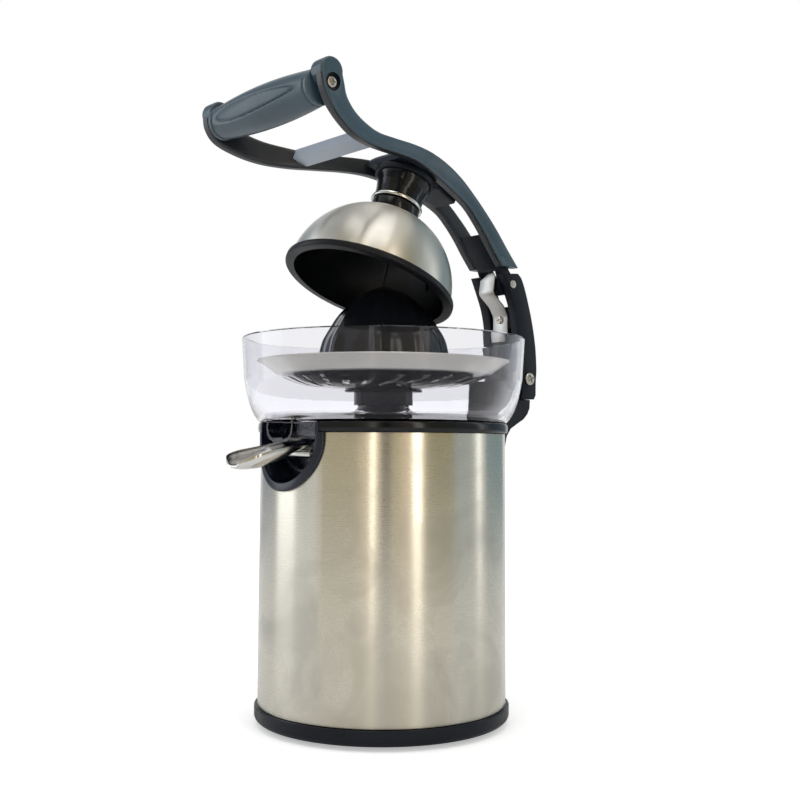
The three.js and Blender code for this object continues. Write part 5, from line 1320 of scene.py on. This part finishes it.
class PRESS_OT_grip(Piece, bpy.types.Operator):
    """Swelling grip with its inset panel, and the screws in its ends"""

    bl_idname = "press.grip"
    bl_label = "Grip"

    def execute(self, context):
        lever = settings().lever
        half = lever.spread - lever.tip_thick - GAP
        x = np.linspace(-half, half, 320)
        share = np.abs(x / half)
        swell = np.clip(np.cos(x / half * math.pi / 2), 0, 1) ** 0.8
        # The collars start at collar_start, with a fine groove just before them, and their ends are rounded
        collar_start, groove_middle, end_start = 0.93, 0.925, 0.985
        collar_radius, groove_depth, end_drop = lever.grip_radius + 0.2 * MM, 0.7 * MM, 0.8 * MM
        radius = lever.grip_radius - 0.6 * MM + lever.grip_swell * swell
        collar = np.clip((share - collar_start) / 0.012, 0, 1)
        radius = radius * (1 - collar) + collar_radius * collar
        radius -= groove_depth * np.exp(-(((share - groove_middle) / 0.008) ** 2))
        radius -= end_drop * np.clip((share - end_start) / 0.015, 0, 1) ** 2
        # The inset panel is a teardrop that faces forward, grooved round its edge and raised inside
        panel_turn, panel_radius, panel_half_width = math.radians(-24), 12.5 * MM, 4.9 * MM
        panel_middle, panel_half_length, panel_rise = -0.02, 0.82, 0.35 * MM
        a = np.linspace(0, 2 * math.pi, 200, endpoint=False)
        across = np.abs((a - panel_turn + math.pi) % (2 * math.pi) - math.pi) * panel_radius
        along = (x / half - panel_middle) / panel_half_length
        narrow = panel_half_width * (1 - 0.42 * np.clip(along, -1, 1))
        reach = np.sqrt(np.abs(along)[:, None] ** 2.6 + (across[None] / narrow[:, None]) ** 2)
        edge = np.exp(-(((reach - 1) / 0.1) ** 2))
        inside = np.clip((1 - reach) / 0.15, 0, 1)
        r = radius[:, None] - groove_depth * edge + panel_rise * inside
        points = np.stack([np.repeat(x[:, None], len(a), 1), -r * np.cos(a), r * np.sin(a)], axis=-1)
        grip = tidy(grid("hand_grip", points))
        raise_lever(moved(grip, Matrix.Translation(lever_place(0, GRIP_SHARES))))
        finish_piece(grip, "lever", finish("slate plastic"), ["grip"], 50)
        for side, name in SIDES:
            head = screw_head(f"grip_end_screw_{name}", 3.3 * MM, 1.6 * MM, OUTWARD[side])
            join(head, shank("stem", 1.9 * MM, 19.5 * MM, OUTWARD[-side]))
            at = lever_place(side * (lever.spread - WELL_DEPTH + GAP), GRIP_SHARES)
            raise_lever(moved(head, Matrix.Translation(at)))
            finish_piece(head, "lever", finish("screw steel"), [f"grip_screw_{name}"])
        return {"FINISHED"}


# Outlines of the bracket from its pin, as shares of its depth and height: down the rear and up the front
BRACKET_REAR = [
    (0.2, 0.095), (0.37, 0.05), (0.53, -0.05), (0.65, -0.15), (0.76, -0.25), (0.85, -0.35), (0.92, -0.45),
    (0.97, -0.55), (1, -0.7), (0.97, -0.8), (0.96, -0.92), (0.88, -0.955),
]
BRACKET_FRONT = [
    (0.37, -0.95), (0.38, -0.78), (0.3, -0.59), (0.22, -0.392), (0.155, -0.274), (0.05, -0.168),
    (-0.12, -0.057), (-0.35, 0.08),
]


# Radius of the lever's heel, which the bracket and the leaf are shaped round
HEEL_RADIUS = 12.6 * MM


class PRESS_OT_bracket(Piece, bpy.types.Operator):
    """Black channel bracket of the hinge, its pin and screws"""

    bl_idname = "press.bracket"
    bl_label = "Hinge Bracket"

    def execute(self, context):
        b, d = settings().bracket, settings().dome
        pin = np.array([d.hinge_reach, d.hinge_level])
        size = np.array([b.depth, b.height])
        rear = spline(BRACKET_REAR[:-1], np.linspace(0, 1, 60)) * size + pin
        front = spline(BRACKET_FRONT, np.linspace(0, 1, 30)) * size + pin
        foot = np.array(BRACKET_REAR[-1:]) * size + pin
        inner = b.half_width - b.plate
        outline = np.concatenate([rear, foot, front])
        piece = prism("channel_bracket", outline, "X", -b.half_width, b.half_width)
        slot_top = d.hinge_level - HEEL_RADIUS
        front_y, low_z = d.hinge_reach - 0.03, d.hinge_level - b.height - OVERCUT
        rear_low = rear[rear[:, 1] < slot_top] - [b.back, 0]
        tool = np.concatenate([[[front_y, low_z], [front_y, slot_top], [rear_low[0, 0], slot_top]], rear_low,
                               [[rear_low[-1, 0], low_z]]])
        carve(piece, prism("channel", tool, "X", -inner, inner))
        gap = rectangle(d.hinge_reach - 0.04, slot_top - 0.1 * MM, d.hinge_reach + 0.04, d.hinge_level + 0.02)
        carve(piece, prism("gap", gap, "X", -inner, inner))
        level, half = d.hinge_level - 1.8 * HEEL_RADIUS, 6.3 * MM
        face = float(high("friction_leaf")[1]) + GAP
        pad = [(face, level - half), (d.hinge_reach + b.depth * 0.8, level - half),
               (d.hinge_reach + b.depth * 0.72, level + half), (face, level + half)]
        pad = prism("pad", pad, "X", -inner - 0.1 * MM, inner + 0.1 * MM)
        bevelled(piece, b.edge, 3, 45)
        join(piece, bevelled(pad, 0.4 * MM, 2))
        finish_piece(piece, "housing", finish("satin black"), ["hinge_bracket"], 40)
        face = b.half_width + GAP
        end = shank("pivot_pin", 2.7 * MM, 2 * b.half_width + 2 * GAP, "X")
        moved(end, Matrix.Translation((-b.half_width - GAP, d.hinge_reach, d.hinge_level)))
        finish_piece(end, "housing", finish("screw steel"), ["hinge_pin"])
        for side, name in SIDES:
            _, y, z = centre_of(f"bracket_screw_{name}")
            head = screw_head(f"channel_screw_{name}", 4.25 * MM, 1.9 * MM, OUTWARD[side])
            join(head, shank("stem", 2 * MM, 12 * MM, OUTWARD[-side]))
            moved(head, Matrix.Translation((side * face, y, z)))
            finish_piece(head, "housing", finish("screw steel"), [f"bracket_screw_{name}"])
        return {"FINISHED"}


class PRESS_OT_leaf(Piece, bpy.types.Operator):
    """Steel friction leaf in the bracket and its screw"""

    bl_idname = "press.leaf"
    bl_label = "Friction Leaf"

    # Shares of the heel's radius from the pin: the leaf's path (forward, up) and its slanted top (across, up)
    shares = [
        (-0.36, -3), (-0.36, -1.6), (-0.04, -1.08), (0.68, -0.52), (0.74, -0.34), (0.6, 0.4), (0.5, 0.8),
    ]
    top_shares = [(1, 0.45), (0.45, 0.8), (-1, 0.3)]

    def execute(self, context):
        d = settings().dome
        radius, half, sheet = HEEL_RADIUS, 6.7 * MM, 0.8 * MM
        path = np.array([(d.hinge_reach - f * radius, d.hinge_level + u * radius) for f, u in self.shares])
        path = rounded(path, 1.6 * MM, 7)
        along = np.gradient(path, axis=0)
        along /= np.linalg.norm(along, axis=1, keepdims=True)
        off = np.stack([-along[:, 1], along[:, 0]], axis=-1) * sheet / 2
        leaf = prism("spring_leaf", np.concatenate([path + off, (path - off)[::-1]]), "X", -half, half)
        foot = d.hinge_level - 3.2 * radius
        front = [(-half - MM, foot), (half + MM, foot)]
        side = half + 0.02 * MM
        front += [(across * side, d.hinge_level + up * radius) for across, up in self.top_shares]
        front = prism("front", front, "Y", d.hinge_reach - 2 * radius, d.hinge_reach + radius)
        bevelled(carve(leaf, front, "INTERSECT"), 0.15 * MM, 2, 50)
        finish_piece(leaf, "housing", finish("satin steel"), ["friction_leaf"], 40)
        front_y, z = low("leaf_screw")[1], centre_of("leaf_screw")[2]
        head = screw_head("leaf_fixing", 2.6 * MM, 1.3 * MM, "-Y")
        moved(head, Matrix.Translation((0, front_y + 1.3 * MM, z)))
        stem = shank("stem", 1.4 * MM, 8.8 * MM, "Y")
        moved(stem, Matrix.Translation((0, front_y + 1.2 * MM, z)))
        finish_piece(join(head, stem), "housing", finish("screw steel"), ["leaf_screw"])
        return {"FINISHED"}


class PRESS_OT_spine(Piece, bpy.types.Operator):
    """Rear spine between the drum and the bracket, and the cable gland"""

    bl_idname = "press.spine"
    bl_label = "Rear Spine"

    def execute(self, context):
        spine = bevelled(copied("rear_spine", "back_spine"), 0.8 * MM, 3, 40)
        finish_piece(spine, "housing", finish("satin black"), ["rear_spine"], 40)
        start, z = low("cable_gland")[1], centre_of("cable_gland")[2]
        depth = high("cable_gland")[1] - start
        bore, neck, flange, flange_depth = 3 * MM, 5 * MM, 7 * MM, 2.6 * MM
        profile = [(bore, 0), (flange, 0), (flange, flange_depth), (neck, flange_depth),
                   (neck, depth - flange_depth), (8 * MM, depth - flange_depth), (flange, depth),
                   (bore, depth)]
        radii = np.array([0.3, 0.5, 0.4, 0.1, 0.1, 0.6, 0.8, 0.5]) * MM
        gland = aimed(lathe("cord_gland", rounded(profile, radii, 5, True), 64), "Y")
        moved(gland, Matrix.Translation((0, start, z)))
        finish_piece(gland, "housing", finish("rubber"), ["cable_gland"])
        return {"FINISHED"}


class PRESS_OT_inner_works(Piece, bpy.types.Operator):
    """Finishes of the motor, gears and other inner pieces kept from the frame"""

    bl_idname = "press.inner_works"
    bl_label = "Inner Works"

    finishes = {
        "satin black": ["top_deck", "start_switch"],
        "gear plastic": ["output_gear", "idler_gear"],
        "bronze": ["shaft_bushing", "thrust_cup"],
        "motor metal": ["gearbox_plate", "motor"],
        "screw steel": [
            "drive_shaft", "return_spring", "motor_pinion", "idler_axle", "gearbox_screw_1",
            "gearbox_screw_2", "gearbox_screw_3", "tie_screw_1", "tie_screw_2", "tie_screw_3", "tie_screw_4",
            "spine_screw_left", "spine_screw_right",
        ],
    }

    def execute(self, context):
        for material, names in self.finishes.items():
            for node in (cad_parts[name] for name in names):
                if not node.material_slots:
                    node.data.materials.append(finish(material))
                for slot in node.material_slots:
                    slot.material = finish(material)
        return {"FINISHED"}


class PRESS_OT_stage(Piece, bpy.types.Operator):
    """White floor and backdrop, soft studio lamps and the camera"""

    bl_idname = "press.stage"
    bl_label = "Stage"

    # Degrees round the press that the camera stands at
    view = 50

    # Each card's name, first and last angle from the camera's side in degrees, and colour
    cards = [
        ("rear left", -150, -114, (0.25, 0.3, 0.38)), ("left", -88, -60, (0.74, 0.76, 0.8)),
        ("warm left", -60, -22, (0.45, 0.39, 0.25)), ("rose left", -22, -2, (0.72, 0.58, 0.38)),
        ("dark", -2, 7, (0.05, 0.03, 0.0)), ("olive", 7, 16, (0.5, 0.42, 0.24)),
        ("rose right", 16, 38, (0.75, 0.58, 0.37)), ("warm right", 38, 68, (0.31, 0.27, 0.14)),
        ("teal", 68, 92, (0.38, 0.44, 0.46)), ("rear right", 108, 150, (0.22, 0.31, 0.35)),
    ]
    card_reach, card_foot, card_top = 1.8, -0.01, 2.4

    # Height on the press that the lamps are aimed at
    aim = 0.18

    # Each lamp's name, angle from the camera's side and elevation in degrees, distance, width, height,
    # brightness and colour
    lamps = [
        ("strip near", -9, 6, 1.6, 0.12, 2.0, 2.6, (1, 0.97, 0.88)),
        ("strip side", 31, 6, 1.6, 0.22, 2.0, 2.9, (1, 0.97, 0.9)),
        ("soft left", -98, 8, 1.6, 0.7, 1.8, 1.5, (0.88, 0.94, 1)),
        ("soft right", 98, 8, 1.6, 0.18, 1.8, 1.1, (0.92, 0.97, 1)),
        ("overhead", 0, 75, 1.5, 1.2, 1.2, 1.4, (1, 1, 1)),
    ]

    def lamp(self, name, turn, elevation, distance, width, height, level, tone):
        """An area lamp of a given brightness on a sphere round the press, aimed at the press."""
        a, e = math.radians(self.view + turn), math.radians(elevation)
        back = Vector((math.sin(a) * math.cos(e), -math.cos(a) * math.cos(e), math.sin(e)))
        data = bpy.data.lights.new(name, "AREA")
        data.shape = "RECTANGLE"
        data.size, data.size_y = width, height
        data.energy = level * math.pi * width * height
        data.color = tone
        lamp = bpy.data.objects.new(name, data)
        lamp.location = Vector(AXIS) + Vector((0, 0, self.aim)) + back * distance
        lamp.rotation_mode = "QUATERNION"
        lamp.rotation_quaternion = (-back).to_track_quat("-Z", "Y")
        bpy.context.collection.objects.link(lamp)
        lamp.visible_camera = False
        lamp.visible_transmission = False

    def bare_material(self, name):
        """A material with nothing in its tree but the output, and the output's surface socket."""
        material = bpy.data.materials.new(name)
        material.use_nodes = True
        tree = material.node_tree
        tree.nodes.clear()
        return material, tree, tree.nodes.new("ShaderNodeOutputMaterial").inputs["Surface"]

    def card(self, name, start, end, tone):
        """An upright card curved round the press, (r sin a, -r cos a, z), that only reflections see."""
        rows, columns, reach = 5, 33, self.card_reach
        a = np.radians(self.view + np.linspace(start, end, columns))
        z = np.linspace(self.card_foot, self.card_top, rows)
        points = np.stack([np.tile(reach * np.sin(a), (rows, 1)), np.tile(-reach * np.cos(a), (rows, 1)),
                           np.repeat(z[:, None], columns, 1)], axis=-1)
        i, j = np.meshgrid(np.arange(rows - 1), np.arange(columns - 1), indexing="ij")
        corner = i * columns + j
        quads = np.stack([corner, corner + 1, corner + columns + 1, corner + columns], axis=-1)
        card = mesh_object(name, points.reshape(-1, 3) + AXIS, [quads.reshape(-1, 4)])
        material, tree, surface = self.bare_material(name)
        glow = put(tree, "ShaderNodeEmission", in_Color=(*tone, 1), in_Strength=1.0)
        tree.links.new(glow.outputs[0], surface)
        material.cycles.emission_sampling = "NONE"
        card.data.materials.append(material)
        card.visible_camera = False
        card.visible_diffuse = False
        card.visible_transmission = False
        card.visible_shadow = False

    def seen(self, tree, gloss):
        """1 for rays from the camera and through glass, a share of it for rays from gloss, 0 for the rest."""
        path = tree.nodes.new("ShaderNodeLightPath")
        mirrored = math_node(tree, "MULTIPLY", path.outputs["Is Glossy Ray"], gloss)
        through = math_node(tree, "MAXIMUM", mirrored, path.outputs["Is Transmission Ray"])
        return math_node(tree, "MAXIMUM", path.outputs["Is Camera Ray"], through)

    def floor(self):
        """A white floor that keeps the shadow near the press and is plain white further out."""
        size = 8.0
        corners = np.array([[-size, -size, 0], [size, -size, 0], [size, size, 0], [-size, size, 0]])
        floor = mesh_object("floor", corners, [np.array([[0, 1, 2, 3]])])
        material, tree, surface = self.bare_material("floor white")
        coordinates = tree.nodes.new("ShaderNodeTexCoord")
        reach = put(tree, "ShaderNodeVectorMath", operation="LENGTH")
        tree.links.new(coordinates.outputs["Object"], reach.inputs[0])
        far = soft_step(tree, reach.outputs["Value"], 0.35, 1.5)
        diffuse = put(tree, "ShaderNodeBsdfDiffuse", in_Color=(0.9, 0.9, 0.9, 1))
        glow = put(tree, "ShaderNodeEmission", in_Color=(1, 1, 1, 1))
        plain = math_node(tree, "MULTIPLY", spread(tree, far, 0.42, 0.7), self.seen(tree, 0.1))
        tree.links.new(plain, glow.inputs["Strength"])
        add = tree.nodes.new("ShaderNodeAddShader")
        tree.links.new(diffuse.outputs[0], add.inputs[0])
        tree.links.new(glow.outputs[0], add.inputs[1])
        tree.links.new(add.outputs[0], surface)
        floor.data.materials.append(material)

    def world(self):
        """White background for the camera, gloss and glass; a softer white sky for the light."""
        world = bpy.data.worlds.new("studio")
        bpy.context.scene.world = world
        world.use_nodes = True
        tree = world.node_tree
        background = tree.nodes["Background"]
        tree.links.new(spread(tree, self.seen(tree, 0.5), 0.6, 1.0), background.inputs["Strength"])
        background.inputs["Color"].default_value = (1, 1, 1, 1)

    def camera(self):
        """The photograph's view for a picture of 800 by 800: upright but for a small pitch, yaw and roll."""
        focal_pixels, picture_pixels, sensor = 1159.0878, 800, 36.0
        distance, height = 0.7184431, 0.153157 + 0.0118
        pitch, yaw, roll = 0.0754, 0.0142, 0.0048
        data = bpy.data.cameras.new("camera")
        data.sensor_width = sensor
        data.lens = focal_pixels * sensor / picture_pixels
        data.shift_y = -0.05
        camera = bpy.data.objects.new("camera", data)
        azimuth = math.radians(self.view)
        back = Vector((math.sin(azimuth), -math.cos(azimuth), 0))
        right = Vector((math.cos(azimuth), math.sin(azimuth), 0))
        camera.location = Vector(AXIS) + back * distance + Vector((0, 0, height))
        base = Matrix((right, Vector((0, 0, 1)), back)).transposed()
        turn = Matrix.Rotation(-yaw, 3, "Y") @ Matrix.Rotation(pitch, 3, "X") @ Matrix.Rotation(roll, 3, "Z")
        camera.rotation_mode = "QUATERNION"
        camera.rotation_quaternion = (base @ turn).to_quaternion()
        bpy.context.collection.objects.link(camera)
        bpy.context.scene.camera = camera

    def execute(self, context):
        self.floor()
        self.world()
        self.camera()
        for name, start, end, tone in self.cards:
            self.card(f"{name} card", start, end, tone)
        for lamp in self.lamps:
            self.lamp(*lamp)
        bpy.context.scene.view_settings.view_transform = "Standard"
        return {"FINISHED"}


OPERATORS = (
    PRESS_OT_base, PRESS_OT_drum, PRESS_OT_recess, PRESS_OT_spout, PRESS_OT_bowl, PRESS_OT_sieve,
    PRESS_OT_cone, PRESS_OT_dome, PRESS_OT_arms, PRESS_OT_crossbar, PRESS_OT_hub, PRESS_OT_heel,
    PRESS_OT_grip, PRESS_OT_bracket, PRESS_OT_leaf, PRESS_OT_spine, PRESS_OT_inner_works, PRESS_OT_stage,
)


class PRESS_PT_panel(bpy.types.Panel):
    """Lists the sizes, the finishes and the pieces of the press"""

    bl_idname = "PRESS_PT_panel"
    bl_label = "Citrus Press"
    bl_space_type = "VIEW_3D"
    bl_region_type = "UI"
    bl_category = "Citrus Press"

    def draw(self, context):
        layout = self.layout
        groups = context.scene.citrus_press
        for group in ("drum", "spout", "bowl", "cone", "dome", "lever", "bracket", "finish"):
            box = layout.box()
            box.label(text=group.capitalize())
            values = getattr(groups, group)
            for key in values.__annotations__:
                box.prop(values, key)
        for operator in OPERATORS:
            layout.operator(operator.bl_idname)


CLASSES = (
    DrumSizes, SpoutSizes, BowlSizes, ConeSizes, DomeSizes, LeverSizes, BracketSizes, Finishes, PressSettings,
    *OPERATORS, PRESS_PT_panel,
)


def register():
    """Registers the classes and puts the settings on the scene."""
    for cls in CLASSES:
        bpy.utils.register_class(cls)
    bpy.types.Scene.citrus_press = PointerProperty(type=PressSettings)


def unregister():
    """Takes the settings off the scene and the classes out again."""
    del bpy.types.Scene.citrus_press
    for cls in reversed(CLASSES):
        bpy.utils.unregister_class(cls)


def main():
    """Builds every piece and the stage."""
    register()
    for operator in OPERATORS:
        group, name = operator.bl_idname.split(".")
        getattr(getattr(bpy.ops, group), name)()


if __name__ == "__main__":
    main()
